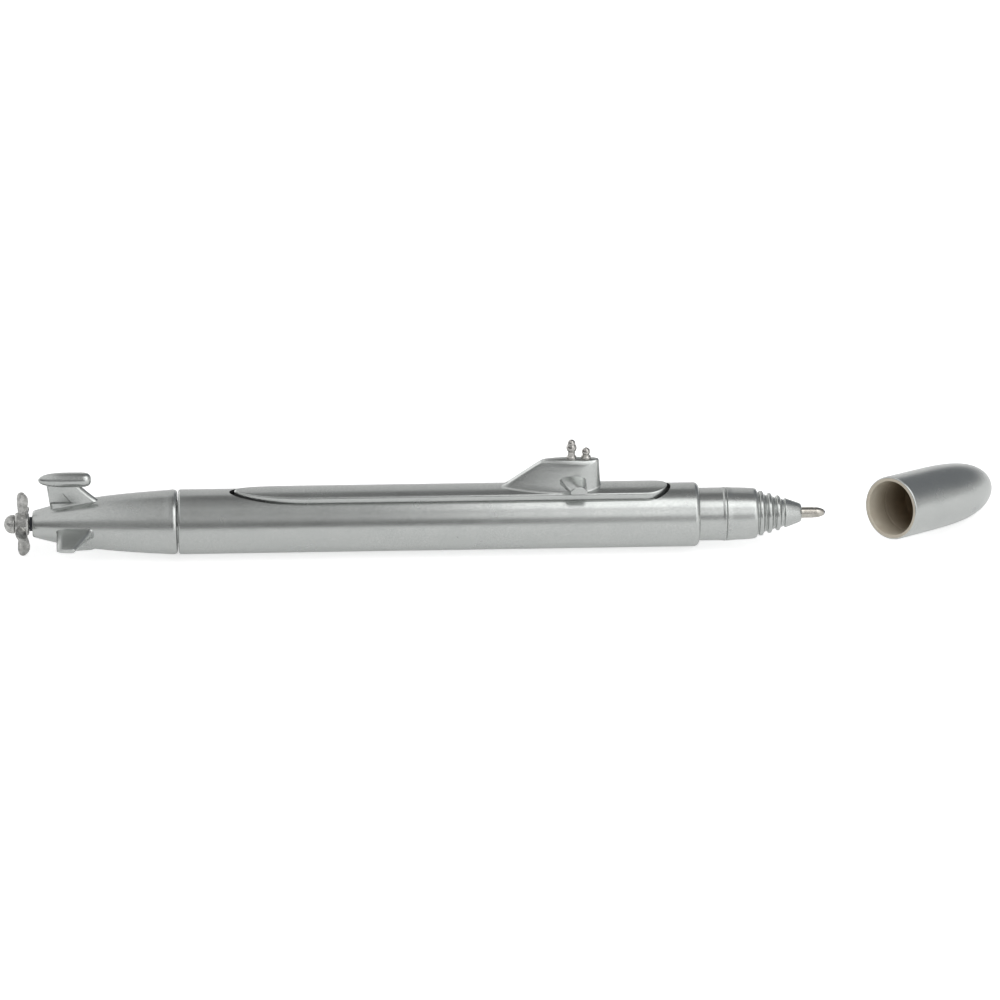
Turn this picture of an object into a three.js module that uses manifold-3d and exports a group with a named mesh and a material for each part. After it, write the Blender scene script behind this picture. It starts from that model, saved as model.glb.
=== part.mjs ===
// A submarine-shaped ballpoint pen, lying on its keel with the bow cap taken off.
// Millimetres, +Z up. The pen's axis lies along +X, from the propeller to the writing tip.
// The origin is on the keel, under the middle of the barrel.

import * as THREE from "three";
import { mergeVertices } from "three/addons/utils/BufferGeometryUtils.js";
import Module from "manifold-3d";

const wasm = await Module();
wasm.setup();

// Sides of a round piece
const hullSides = 36;
const smallSides = 16;

// Clearances
const seatGap = 0.3;
const fitClearance = 0.15;

// Barrel: x = 0 at its stern edge
const barrelLength = 104;
const hullRadius = 6.5;
const barrelBoreRadius = 4.4;
const barrelEdge = 0.35;
const threadRadius = 3.95;
const threadLength = 8;
const gripSeatDepth = 0.5;

// Deck plate and its recess
const deckStart = 11.2;
const deckLength = 86.35;
const deckHalfWidth = 2.95;
const deckSternTaper = 15.2;
const deckBowTaper = 4.4;
const deckProud = 0.42;
const deckThickness = 1.2;
const deckEdge = 0.3;
const deckEndRise = 0.8;
const deckSideGap = 0.75;
const deckSternGap = 0.95;
const deckBowGap = 0.68;

// Sail
const sailBow = 84.25;
const sailRampFoot = 64.5;
const sailRampTop = 72.7;
const sailTopHeight = 12.7;
const sailBaseHalfWidth = 2.6;
const sailTopHalfWidth = 1.4;
const sailRampHalfWidth = 0.75;
const sailTopRampHalfWidth = 1;
const sailBowLean = 0.4;
const sailChamfer = 0.4;

// Sail planes
const sailPlaneRootStart = 75.4;
const sailPlaneTipStart = 78;
const sailPlaneEnd = 81.3;
const sailPlaneSpan = 6.3;
const sailPlaneRootHeight = 8.2;
const sailPlaneTipHeight = 7.95;
const sailPlaneThickness = 1.6;

// Masts
const tallMastX = 78.35;
const tallMastHeight = 4.3;
const shortMastX = 81.25;
const shortMastHeight = 2.5;
const tallMastBallHeight = 2.5;
const tallMastCrownRadius = 0.66;
const mastBallRadius = 0.94;
const mastStemRadius = 0.6;
const mastCollarRadius = 0.86;
const mastCollarTop = 0.45;
const mastKnobRadius = 0.74;
const shortMastStemRadius = 0.54;
const mastShankRadius = 0.4;
const mastShankDepth = 1.8;

// Tail cone
const tailLength = 29;
const tailEndRadius = 2.6;
const tailEndEdge = 0.25;
const tailSpigotRadius = 4.25;
const tailSpigotLength = 9;
const tailBoreRadius = 2.2;
const tailBoreDepth = 14;
const tailRearSwell = 1.69;
const tailFrontSwell = 0.76;

// Fins, measured forward from the tail's end face
const finTrailing = 4.9;
const sternPlaneSpan = 12.1;
const sternPlaneRootChord = 7.4;
const sternPlaneTipChord = 3.9;
const sternPlaneRootHalfThickness = 0.95;
const sternPlaneTipHalfThickness = 0.5;
const sternPlaneLean = 0.3;
const lowerRudderDepth = 5.95;
const lowerRudderChord = 7.4;
const lowerRudderHalfThickness = 0.95;
const rudderTrailing = 3.6;
const rudderRootChord = 9.5;
const rudderTipChord = 5.7;
const rudderTrailingLean = 0.6;
const rudderRootHalfThickness = 1.75;
const rudderTopHalfThickness = 0.9;
const rudderWaistHeight = 2.2;

// Rudder pod
const podStart = 1.4;
const podLength = 10.6;
const podRadius = 1.5;
const podHeight = 9.7;

// Propeller, its pin and washer
const propellerHubLength = 2.8;
const propellerHubRadius = 2.3;
const bladeTipRadius = 7.05;
const bladeChord = 2.9;
const bladeRootChord = 1.9;
const bladeThickness = 0.8;
const bladePitch = -34;
const bladeCount = 4;
const washerThickness = 0.55;
const washerRadius = 1.44;
const pinRadius = 0.85;
const pinDepth = 5;
const pinHeadRadius = 1.86;
const pinHeadLength = 2.1;
const propellerHubEdge = 0.4;
const axialPlay = 0.1;

// Grip section
const gripRadius = 5.31;
const gripFrontRadius = 5.16;
const gripLength = 11.7;
const snapBeadPlace = 5.5;
const snapBeadHeight = 0.1;
const ribCount = 3;
const ribPitch = 1.7;
const firstRibRadius = 4.52;
const ribRadiusStep = 0.49;
const ribGrooveDepth = 0.75;
const noseConeGap = 0.4;
const noseConeLength = 3.4;
const noseConeRearRadius = 3;
const noseConeFrontRadius = 1.8;

// Refill
const refillTubeRadius = 1.5;
const refillTubeWall = 0.65;
const refillTubeLength = 96;
const tipRadius = 1.1;
const tipReach = 4.9;
const tipStraight = 2.8;
const tipShankLength = 3;
const ballRadius = 0.5;
const ballPlay = 0.05;
const bushRadius = 2.85;
const bushLength = 3.5;

// Cap, taken off and lying beside the tip
const capRadius = 6.35;
const capLength = 31.8;
const capStraight = 2;
const capPower = 4.76;
const capSkin = 0.93;
const capSeatDepth = 12;
const capInnerDepth = 26.2;
const capInnerEndRadius = 1.7;
const capAhead = 12.32;
const capAside = 5.96;
const capYaw = 45.5;
const capPitch = -11.4;

const silverPaint = { color: 0xb9bbba, roughness: 0.36, metalness: 0.55 };
const castSilver = { color: 0xb0b0ad, roughness: 0.45, metalness: 0.5 };
const brightPlate = { color: 0xc9c9c6, roughness: 0.25, metalness: 0.9 };
const darkPlastic = { color: 0x2b2f33, roughness: 0.5, metalness: 0 };
const clearPlastic = { color: 0xd9dcdc, roughness: 0.3, metalness: 0 };
const inkPaste = { color: 0x14172a, roughness: 0.5, metalness: 0 };
const nickelSilver = { color: 0xb5ab98, roughness: 0.25, metalness: 1 };
const carbide = { color: 0x7d7f82, roughness: 0.2, metalness: 1 };

// Geometry tools

function bareGeometry(geometry) {
  const bare = geometry.clone();
  bare.deleteAttribute("normal");
  bare.deleteAttribute("uv");
  return mergeVertices(bare, 1e-4);
}

function withoutSlivers(indices) {
  const kept = [];
  for (let i = 0; i < indices.length; i += 3) {
    const [a, b, c] = [indices[i], indices[i + 1], indices[i + 2]];
    if (a !== b && b !== c && c !== a) kept.push(a, b, c);
  }
  return kept;
}

function solidOf(geometry) {
  const bare = bareGeometry(geometry);
  const triVerts = new Uint32Array(withoutSlivers(bare.index.array));
  const vertProperties = new Float32Array(bare.attributes.position.array);
  return new wasm.Manifold(new wasm.Mesh({ numProp: 3, vertProperties, triVerts }));
}

function geometryOf(solid) {
  const mesh = solid.getMesh();
  const geometry = new THREE.BufferGeometry();
  geometry.setAttribute("position", new THREE.BufferAttribute(mesh.vertProperties, 3));
  geometry.setIndex(new THREE.BufferAttribute(mesh.triVerts, 1));
  geometry.computeVertexNormals();
  return geometry;
}

function joined(...geometries) {
  const solids = geometries.map(solidOf);
  return geometryOf(solids.reduce((whole, solid) => whole.add(solid)));
}

function cut(geometry, ...tools) {
  const solids = tools.map(solidOf);
  return geometryOf(solids.reduce((whole, tool) => whole.subtract(tool), solidOf(geometry)));
}

function placed(geometry, x, y, z) {
  return geometry.clone().translate(x, y, z);
}

// A turned piece about the X axis. Its profile is a list of [x, radius] that runs towards +X on the
// outside; it starts and ends on the axis, or else closes on itself. Every flat side lies at the
// stated radius, with one side facing straight down.
function turned(profile, sides) {
  const closed = profile[0][1] > 0 ? [...profile, profile[0]] : profile;
  const reach = 1 / Math.cos(Math.PI / sides);
  const points = closed.map(([x, radius]) => new THREE.Vector2(radius * reach, x));
  const geometry = new THREE.LatheGeometry(points, sides, Math.PI / sides);
  return geometry.rotateZ(-Math.PI / 2);
}

// The same about the Z axis
function turnedUpright(profile, sides) {
  return turned(profile, sides).rotateY(-Math.PI / 2);
}

function rod(start, end, radius, sides) {
  return turned([[start, 0], [start, radius], [end, radius], [end, 0]], sides);
}

function signedVolume(points, indices) {
  let sum = 0;
  for (let i = 0; i < indices.length; i += 3) {
    const [a, b, c] = [points[indices[i]], points[indices[i + 1]], points[indices[i + 2]]];
    sum += a.dot(new THREE.Vector3().crossVectors(b, c));
  }
  return sum;
}

// A closed body through rings of points, each ring with the same count
function loft(rings) {
  const count = rings[0].length;
  const points = rings.flat();
  const indices = [];
  for (let r = 0; r < rings.length - 1; r++) {
    for (let i = 0; i < count; i++) {
      const a = r * count + i;
      const b = r * count + ((i + 1) % count);
      indices.push(a, b, b + count, a, b + count, a + count);
    }
  }
  for (const [ring, flip] of [[0, true], [rings.length - 1, false]]) {
    const centre = rings[ring].reduce((sum, p) => sum.add(p), new THREE.Vector3());
    points.push(centre.divideScalar(count));
    for (let i = 0; i < count; i++) {
      const a = ring * count + i;
      const b = ring * count + ((i + 1) % count);
      indices.push(points.length - 1, flip ? b : a, flip ? a : b);
    }
  }
  if (signedVolume(points, indices) < 0) indices.reverse();
  const geometry = new THREE.BufferGeometry().setFromPoints(points);
  geometry.setIndex(indices);
  geometry.computeVertexNormals();
  return geometry;
}

const between = (a, b, t) => a + (b - a) * t;

// A fin's outline as [x, offset] points: blunt at the trailing end, widest at wideAt of the chord,
// and round at the leading end
function finOutline(trailing, leading, blunt, widest) {
  const wideAt = 0.7;
  const steps = 7;
  const upper = [];
  for (let i = 0; i <= steps; i++) {
    const u = (wideAt * i) / steps;
    upper.push([u, between(blunt, widest, Math.sin((Math.PI / 2) * (u / wideAt)))]);
  }
  for (let i = 1; i <= steps; i++) {
    const turn = (Math.PI / 2) * (i / steps);
    upper.push([wideAt + (1 - wideAt) * Math.sin(turn), widest * Math.cos(turn) + 0.02]);
  }
  const side = upper.map(([u, w]) => [between(trailing, leading, u), w]);
  return [...side, ...side.map(([x, w]) => [x, -w]).reverse()];
}

// Barrel

const deckOuterRadius = hullRadius + deckProud;
const deckInnerRadius = deckOuterRadius - deckThickness;
const deckEnd = deckStart + deckLength;

const noGap = { side: 0, stern: 0, bow: 0 };
const deckGap = { side: deckSideGap, stern: deckSternGap, bow: deckBowGap };

// Half the width of the plate, or of its recess, at a place along it. Both ends are half ellipses,
// a long one at the stern.
function deckHalfWidthAt(x, gap) {
  const stern = 1 - Math.min(1, (x - deckStart + gap.stern) / (deckSternTaper + gap.stern));
  const bow = 1 - Math.min(1, (deckEnd + gap.bow - x) / (deckBowTaper + gap.bow));
  const full = deckHalfWidth + gap.side;
  return Math.max(0.12, full * Math.sqrt(1 - stern ** 2) * Math.sqrt(1 - bow ** 2));
}

function deckStations(gap) {
  const endSteps = 9;
  const start = deckStart - gap.stern;
  const end = deckEnd + gap.bow;
  const stations = [];
  for (let i = 0; i <= endSteps; i++) {
    const turn = (Math.PI / 2) * (i / endSteps);
    stations.push(start + (deckSternTaper + gap.stern) * (1 - Math.cos(turn)));
  }
  for (let i = 0; i <= endSteps; i++) {
    const turn = (Math.PI / 2) * (i / endSteps);
    stations.push(end - (deckBowTaper + gap.bow) * (1 - Math.sin(turn)));
  }
  return stations;
}

function arcPoints(x, radius, halfWidth, steps) {
  const points = [];
  for (let i = 0; i <= steps; i++) {
    const y = between(-halfWidth, halfWidth, i / steps);
    points.push(new THREE.Vector3(x, y, Math.sqrt(radius ** 2 - y ** 2)));
  }
  return points;
}

function deckPlate() {
  const rings = deckStations(noGap).map((x) => {
    const halfWidth = deckHalfWidthAt(x, noGap);
    const full = Math.min(1, halfWidth / deckEndRise);
    const topRadius = hullRadius + deckProud * full;
    const edge = Math.min(deckEdge, halfWidth / 2);
    const wallTop = Math.sqrt(topRadius ** 2 - halfWidth ** 2) - edge;
    return [
      ...arcPoints(x, deckInnerRadius, halfWidth, 6),
      new THREE.Vector3(x, halfWidth, wallTop),
      ...arcPoints(x, topRadius, halfWidth - edge, 8).reverse(),
      new THREE.Vector3(x, -halfWidth, wallTop),
    ];
  });
  return loft(rings);
}

function deckRecess() {
  const rings = deckStations(deckGap).map((x) => {
    const halfWidth = deckHalfWidthAt(x, deckGap);
    return [
      ...arcPoints(x, deckInnerRadius - seatGap, halfWidth, 6),
      ...arcPoints(x, hullRadius + 2, halfWidth, 8).reverse(),
    ];
  });
  return loft(rings);
}

function barrel() {
  const threadRelief = 0.5;
  const threadEnd = barrelLength - threadLength - 2 * threadRelief;
  const tube = turned(
    [
      [0, hullRadius - barrelEdge],
      [barrelEdge, hullRadius],
      [barrelLength - barrelEdge, hullRadius],
      [barrelLength, hullRadius - barrelEdge],
      [barrelLength, gripRadius + fitClearance],
      [barrelLength - gripSeatDepth, gripRadius + fitClearance],
      [barrelLength - gripSeatDepth, threadRadius + fitClearance],
      [threadEnd, threadRadius + fitClearance],
      [threadEnd - threadRelief, barrelBoreRadius],
      [0, barrelBoreRadius],
    ],
    hullSides,
  );
  return cut(tube, deckRecess());
}

// Sail, with its planes

function sailRing(height, inset) {
  const t = (height - deckOuterRadius) / (sailTopHeight - deckOuterRadius);
  const trailing = between(sailRampFoot, sailRampTop, t) + inset;
  const leading = sailBow - sailBowLean * t - inset;
  const blunt = between(sailRampHalfWidth, sailTopRampHalfWidth, t) - inset;
  const widest = between(sailBaseHalfWidth, sailTopHalfWidth, t) - inset;
  const outline = finOutline(trailing, leading, blunt, widest);
  return outline.map(([x, y]) => new THREE.Vector3(x, y, height));
}

function sailPlane(side) {
  const ring = (t, inset) => {
    const start = between(sailPlaneRootStart, sailPlaneTipStart, t) + inset;
    const end = sailPlaneEnd - inset;
    const bottom = between(sailPlaneRootHeight, sailPlaneTipHeight, t) + inset / 2;
    const rise = sailPlaneThickness - inset;
    const y = side * between(sailTopHalfWidth / 2, sailPlaneSpan, t);
    const steps = 10;
    const points = [];
    for (let i = 0; i <= steps; i++) {
      const turn = Math.PI * (i / steps);
      const x = between(start, end, (1 - Math.cos(turn)) / 2);
      points.push(new THREE.Vector3(x, y, bottom + rise * Math.sin(turn) ** 0.7 + 0.05));
    }
    points.push(new THREE.Vector3(end, y, bottom));
    points.push(new THREE.Vector3(start, y, bottom));
    return points;
  };
  return loft([ring(0, 0), ring(0.96, 0), ring(1, 0.15)]);
}

function sail() {
  const below = deckOuterRadius - 1;
  const tower = loft([
    sailRing(below, 0),
    sailRing(sailTopHeight - sailChamfer, 0),
    sailRing(sailTopHeight, sailChamfer),
  ]);
  const whole = joined(tower, sailPlane(1), sailPlane(-1));
  const seat = rod(sailRampFoot - 10, sailBow + 10, deckOuterRadius + seatGap, hullSides);
  const floor = sailTopHeight - mastShankDepth - fitClearance;
  const hole = turnedUpright(
    [
      [floor, 0],
      [floor, mastShankRadius + fitClearance],
      [sailTopHeight + 1, mastShankRadius + fitClearance],
      [sailTopHeight + 1, 0],
    ],
    smallSides,
  );
  return cut(whole, seat, placed(hole, tallMastX, 0, 0), placed(hole, shortMastX, 0, 0));
}

// A ball as profile points, from the angle where it leaves the stem to its crown
function ballProfile(centre, radius, stemRadius, steps) {
  const start = Math.asin(Math.min(1, stemRadius / radius));
  const points = [];
  for (let i = 0; i <= steps; i++) {
    const turn = between(Math.PI - start, start, i / steps);
    points.push([centre + radius * -Math.cos(Math.PI - turn), radius * Math.sin(turn)]);
  }
  return points;
}

function mastFoot(stemRadius) {
  return [
    [-mastShankDepth, 0],
    [-mastShankDepth, mastShankRadius],
    [0.05, mastShankRadius],
    [0.05, mastCollarRadius * 0.8],
    [mastCollarTop / 2, mastCollarRadius],
    [mastCollarTop, mastCollarRadius],
    [mastCollarTop + 0.25, stemRadius],
  ];
}

function tallMast() {
  const crownCentre = tallMastHeight - tallMastCrownRadius;
  return turnedUpright(
    [
      ...mastFoot(mastStemRadius),
      ...ballProfile(tallMastBallHeight, mastBallRadius, mastStemRadius, 6),
      [crownCentre - tallMastCrownRadius * 0.4, mastStemRadius * 0.95],
      [crownCentre, tallMastCrownRadius],
      [crownCentre + tallMastCrownRadius * 0.6, tallMastCrownRadius * 0.8],
      [tallMastHeight, 0],
    ],
    smallSides,
  );
}

function shortMast() {
  const knobCentre = shortMastHeight - mastKnobRadius;
  const knob = ballProfile(knobCentre, mastKnobRadius, shortMastStemRadius, 6);
  return turnedUpright(
    [...mastFoot(shortMastStemRadius), ...knob.slice(0, -1), [shortMastHeight, 0]],
    smallSides,
  );
}

// Tail cone

const tailCurve = new THREE.CubicBezierCurve(
  new THREE.Vector2(-tailLength, tailEndRadius),
  new THREE.Vector2(-tailLength * 0.805, tailEndRadius + tailRearSwell),
  new THREE.Vector2(-tailLength * 0.558, hullRadius - tailFrontSwell),
  new THREE.Vector2(-seatGap, hullRadius),
);

function tailProfile(grow) {
  return tailCurve.getPoints(14).map((p) => [p.x, p.y + grow]);
}

// A fin that stands out along +Z from the tail, from the inside of the cone to its tip
function tailFin(root, tip, chords, halfThicknesses, trailing, lean) {
  const start = -tailLength + trailing;
  const ring = (t, inset) => {
    const height = between(root, tip, t);
    const back = start - lean * t + inset;
    const front = start + between(chords[0], chords[1], t) - inset;
    const widest = between(halfThicknesses[0], halfThicknesses[1], t) - inset / 2;
    const outline = finOutline(back, front, widest * 0.45, widest);
    return outline.map(([x, y]) => new THREE.Vector3(x, y, height));
  };
  const rounding = 0.3;
  const shoulder = 1 - rounding / (tip - root);
  return loft([ring(0, 0), ring(shoulder, 0), ring(1, rounding)]);
}

const finRoot = tailEndRadius - 0.6;

function tailCone() {
  const body = turned(
    [
      [-tailLength, pinRadius + 2 * fitClearance],
      [-tailLength, tailEndRadius - tailEndEdge],
      [-tailLength + tailEndEdge, tailEndRadius],
      ...tailProfile(0).slice(1, -1),
      [-seatGap - barrelEdge, hullRadius],
      [-seatGap, hullRadius - barrelEdge],
      [-seatGap, tailSpigotRadius],
      [tailSpigotLength, tailSpigotRadius],
      [tailSpigotLength, tailBoreRadius],
      [-tailBoreDepth, tailBoreRadius],
      [-tailBoreDepth - 1, 0.5],
      [-tailLength + pinDepth + 1, 0.5],
      [-tailLength + pinDepth + 1, pinRadius + 2 * fitClearance],
    ],
    hullSides,
  );
  const plane = tailFin(
    finRoot,
    sternPlaneSpan,
    [sternPlaneRootChord, sternPlaneTipChord],
    [sternPlaneRootHalfThickness, sternPlaneTipHalfThickness],
    finTrailing,
    -sternPlaneLean,
  );
  const keelFin = tailFin(
    finRoot,
    lowerRudderDepth,
    [lowerRudderChord, lowerRudderChord],
    [lowerRudderHalfThickness, lowerRudderHalfThickness],
    finTrailing,
    0,
  );
  return joined(
    body,
    plane.clone().rotateX(Math.PI / 2),
    plane.clone().rotateX(-Math.PI / 2),
    keelFin.clone().rotateX(Math.PI),
  );
}

function pod(grow) {
  const start = -tailLength + podStart;
  const end = start + podLength;
  const share = [[0.02, 0.35], [0.08, 0.62], [0.2, 0.84], [0.38, 0.97], [0.55, 1], [0.82, 1]];
  return turned(
    [
      [start - grow, 0],
      ...share.map(([t, r]) => [between(start, end, t), podRadius * r + grow]),
      [between(start, end, 0.94), podRadius * 0.9 + grow],
      [end, podRadius * 0.6 + grow],
      [end + grow, 0],
    ],
    smallSides,
  ).translate(0, 0, podHeight);
}

function upperRudder() {
  const foot = tailEndRadius;
  const waist = foot + rudderWaistHeight;
  const top = podHeight - podRadius * 0.6;
  const ring = (height, halfThickness) => {
    const t = (height - foot) / (top - foot);
    const back = -tailLength + rudderTrailing - rudderTrailingLean * t;
    const front = -tailLength + rudderTrailing + between(rudderRootChord, rudderTipChord, t);
    const outline = finOutline(back, front, halfThickness * 0.45, halfThickness);
    return outline.map(([x, y]) => new THREE.Vector3(x, y, height));
  };
  const blade = loft([
    ring(foot, rudderRootHalfThickness * 1.1),
    ring(waist - 0.9, rudderRootHalfThickness * 0.85),
    ring(waist, between(rudderTopHalfThickness, rudderRootHalfThickness, 0.35)),
    ring(waist + 1, rudderTopHalfThickness * 1.05),
    ring(top, rudderTopHalfThickness),
  ]);
  const cone = turned(
    [[-tailLength - 1, 0], ...tailProfile(seatGap), [-seatGap, 0]],
    hullSides,
  );
  return cut(blade, cone, pod(seatGap));
}

// Propeller, its pin and washer

const washerRear = -tailLength - axialPlay / 2 - washerThickness;
const hubFront = washerRear - axialPlay;
const hubRear = hubFront - propellerHubLength;

function blade() {
  const middle = (hubFront + hubRear) / 2;
  const stations = [
    [0.2, bladeRootChord, 1],
    [0.34, bladeRootChord, 1],
    [0.55, bladeChord * 0.86, 0.95],
    [0.76, bladeChord, 0.85],
    [0.9, bladeChord * 0.8, 0.75],
    [0.98, bladeChord * 0.4, 0.6],
    [1, bladeChord * 0.16, 0.4],
  ];
  const rings = stations.map(([share, chord, thin]) => {
    const height = bladeTipRadius * share;
    const tilt = THREE.MathUtils.degToRad(bladePitch);
    const points = [];
    for (let i = 0; i < 10; i++) {
      const turn = (2 * Math.PI * i) / 10;
      const along = (chord / 2) * Math.cos(turn);
      const across = (bladeThickness / 2) * thin * Math.sin(turn);
      const x = middle + along * Math.cos(tilt) - across * Math.sin(tilt);
      const y = along * Math.sin(tilt) + across * Math.cos(tilt);
      points.push(new THREE.Vector3(x, y, height));
    }
    return points;
  });
  return loft(rings);
}

function propeller() {
  const edge = propellerHubEdge;
  const bore = pinRadius + fitClearance;
  const hub = turned(
    [
      [hubRear, propellerHubRadius - edge],
      [hubRear + edge, propellerHubRadius],
      [hubFront - edge, propellerHubRadius],
      [hubFront, propellerHubRadius - edge],
      [hubFront, bore],
      [hubRear, bore],
    ],
    smallSides,
  );
  const blades = [];
  for (let i = 0; i < bladeCount; i++) {
    blades.push(blade().rotateX((2 * Math.PI * i) / bladeCount));
  }
  return joined(hub, ...blades);
}

function propellerPin() {
  const headFront = hubRear - axialPlay;
  const dome = [];
  for (let i = 0; i <= 6; i++) {
    const turn = (Math.PI / 2) * (i / 6);
    const reach = pinHeadLength * 0.75;
    dome.push([headFront - pinHeadLength * 0.25 - reach * Math.cos(turn), pinHeadRadius * Math.sin(turn)]);
  }
  return turned(
    [
      ...dome,
      [headFront, pinHeadRadius],
      [headFront, pinRadius],
      [-tailLength + pinDepth, pinRadius],
      [-tailLength + pinDepth, 0],
    ],
    smallSides,
  );
}

function washer() {
  const bore = pinRadius + fitClearance;
  return turned(
    [
      [washerRear, washerRadius],
      [washerRear + washerThickness, washerRadius],
      [washerRear + washerThickness, bore],
      [washerRear, bore],
    ],
    smallSides,
  );
}

// Grip section, bush and refill

const gripStart = barrelLength - gripSeatDepth + axialPlay;
const shoulderEnd = barrelLength + gripLength;
const noseConeStart = shoulderEnd + ribCount * ribPitch + noseConeGap;
const noseEnd = noseConeStart + noseConeLength;
const spigotRear = barrelLength - threadLength;
const refillBore = refillTubeRadius + fitClearance;
const tubeFront = noseConeStart - 2;
const tipRear = tubeFront + 0.1;
const tipEnd = noseEnd + tipReach;

function ribs() {
  const points = [];
  for (let i = 0; i < ribCount; i++) {
    const radius = firstRibRadius - i * ribRadiusStep;
    const start = shoulderEnd + i * ribPitch;
    points.push([start + ribPitch * 0.12, radius - ribGrooveDepth + 0.15]);
    points.push([start + ribPitch * 0.3, radius - 0.12]);
    points.push([start + ribPitch * 0.45, radius]);
    points.push([start + ribPitch * 0.6, radius - 0.12]);
    points.push([start + ribPitch * 0.84, radius - ribGrooveDepth]);
  }
  return points;
}

function gripSection() {
  const bead = barrelLength + snapBeadPlace;
  const front = tipRadius + fitClearance;
  const noseEdge = 0.4;
  return turned(
    [
      [spigotRear, threadRadius - 0.3],
      [spigotRear + 0.3, threadRadius],
      [gripStart, threadRadius],
      [gripStart, gripRadius - 0.05],
      [gripStart + 0.05, gripRadius],
      [bead - 0.35, gripRadius],
      [bead, gripRadius + snapBeadHeight],
      [bead + 0.35, gripRadius - 0.04],
      [shoulderEnd - 0.9, gripFrontRadius],
      [shoulderEnd - 0.3, gripFrontRadius - 0.25],
      [shoulderEnd, gripFrontRadius - 0.7],
      ...ribs(),
      [noseConeStart, noseConeRearRadius],
      [noseEnd - noseEdge, noseConeFrontRadius + noseEdge * 0.35],
      [noseEnd, noseConeFrontRadius - noseEdge * 0.5],
      [noseEnd, front],
      [tubeFront + 0.6, front],
      [tubeFront + 0.4, refillBore],
      [spigotRear + bushLength, refillBore],
      [spigotRear + bushLength, bushRadius + fitClearance],
      [spigotRear, bushRadius + fitClearance],
    ],
    hullSides,
  );
}

function refillBush() {
  const rear = spigotRear - 0.5;
  const front = spigotRear + bushLength - fitClearance;
  return turned(
    [
      [rear, bushRadius],
      [front, bushRadius],
      [front, refillBore - 0.05],
      [rear, refillBore - 0.05],
    ],
    smallSides * 2,
  );
}

function refillTube() {
  const inner = refillTubeRadius - refillTubeWall;
  const rear = tubeFront - refillTubeLength;
  return turned(
    [
      [rear, refillTubeRadius],
      [tubeFront, refillTubeRadius],
      [tubeFront, inner],
      [rear, inner],
    ],
    smallSides,
  );
}

function inkColumn() {
  const radius = refillTubeRadius - refillTubeWall - 0.05;
  return rod(tubeFront - refillTubeLength * 0.86, tubeFront - tipShankLength - 0.1, radius, smallSides);
}

function refillTip() {
  const socket = ballRadius + ballPlay;
  const ballCentre = tipEnd - ballRadius;
  const shank = refillTubeRadius - refillTubeWall - 0.05;
  const coneStart = noseEnd + tipStraight;
  const lip = ballCentre + 0.12;
  const cup = [];
  for (let i = 0; i <= 4; i++) {
    const turn = between(0.25, 1, i / 4) * (Math.PI / 2);
    cup.push([ballCentre - socket * Math.cos(turn), socket * Math.sin(turn)]);
  }
  return turned(
    [
      [tipRear - tipShankLength, 0],
      [tipRear - tipShankLength, shank],
      [tipRear, shank],
      [tipRear, tipRadius],
      [coneStart, tipRadius],
      [between(coneStart, lip, 0.3), tipRadius * 0.95],
      [between(coneStart, lip, 0.65), tipRadius * 0.79],
      [lip, socket + 0.08],
      [lip, socket],
      ...cup.reverse().slice(0, -1),
      [ballCentre - socket, 0],
    ],
    smallSides,
  );
}

function writingBall() {
  const points = [];
  for (let i = 0; i <= 8; i++) {
    const turn = Math.PI * (i / 8);
    points.push([tipEnd - ballRadius - ballRadius * Math.cos(turn), 0.98 * ballRadius * Math.sin(turn)]);
  }
  points[0][1] = 0;
  points[8][1] = 0;
  return turned(points, smallSides);
}

// Cap, made along +X from its mouth at x = 0

function capRadiusAt(x) {
  const t = Math.max(0, (x - capStraight) / (capLength - capStraight));
  return capRadius * Math.sqrt(Math.max(0, 1 - t ** capPower));
}

const capBoreRadius = capRadius - capSkin;

function cap() {
  const lip = 0.2;
  const steps = 20;
  const outside = [[0, capRadius - lip], [lip, capRadius]];
  for (let i = 0; i <= steps; i++) {
    const x = capStraight + (capLength - capStraight) * Math.sin((Math.PI / 2) * (i / steps));
    outside.push([x, i < steps ? capRadiusAt(x) : 0]);
  }
  const inside = [
    [capInnerDepth, 0],
    [capInnerDepth, capInnerEndRadius],
    [capInnerDepth - 4, capInnerEndRadius + 1.6],
    [capSeatDepth + 1, capBoreRadius - 0.5],
    [capSeatDepth, capBoreRadius],
    [lip, capBoreRadius],
    [0, capBoreRadius + lip],
  ];
  return turned([...outside, ...inside], hullSides);
}

// How high the mouth's centre lies when the tilted cap rests on the curve of its nose
function capMouthHeight() {
  const tilt = THREE.MathUtils.degToRad(-capPitch);
  let height = 0;
  for (let x = 0; x <= capLength; x += 0.1) {
    const drop = x * Math.sin(tilt) + (capRadiusAt(x) / Math.cos(Math.PI / hullSides)) * Math.cos(tilt);
    height = Math.max(height, drop);
  }
  return height;
}

// Assembly

const submarinePen = new THREE.Group();
const pen = new THREE.Group();
const capPose = new THREE.Group();

function add(group, name, geometry, finish) {
  const mesh = new THREE.Mesh(geometry, new THREE.MeshStandardMaterial(finish));
  mesh.name = name;
  group.add(mesh);
  return mesh;
}

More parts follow.
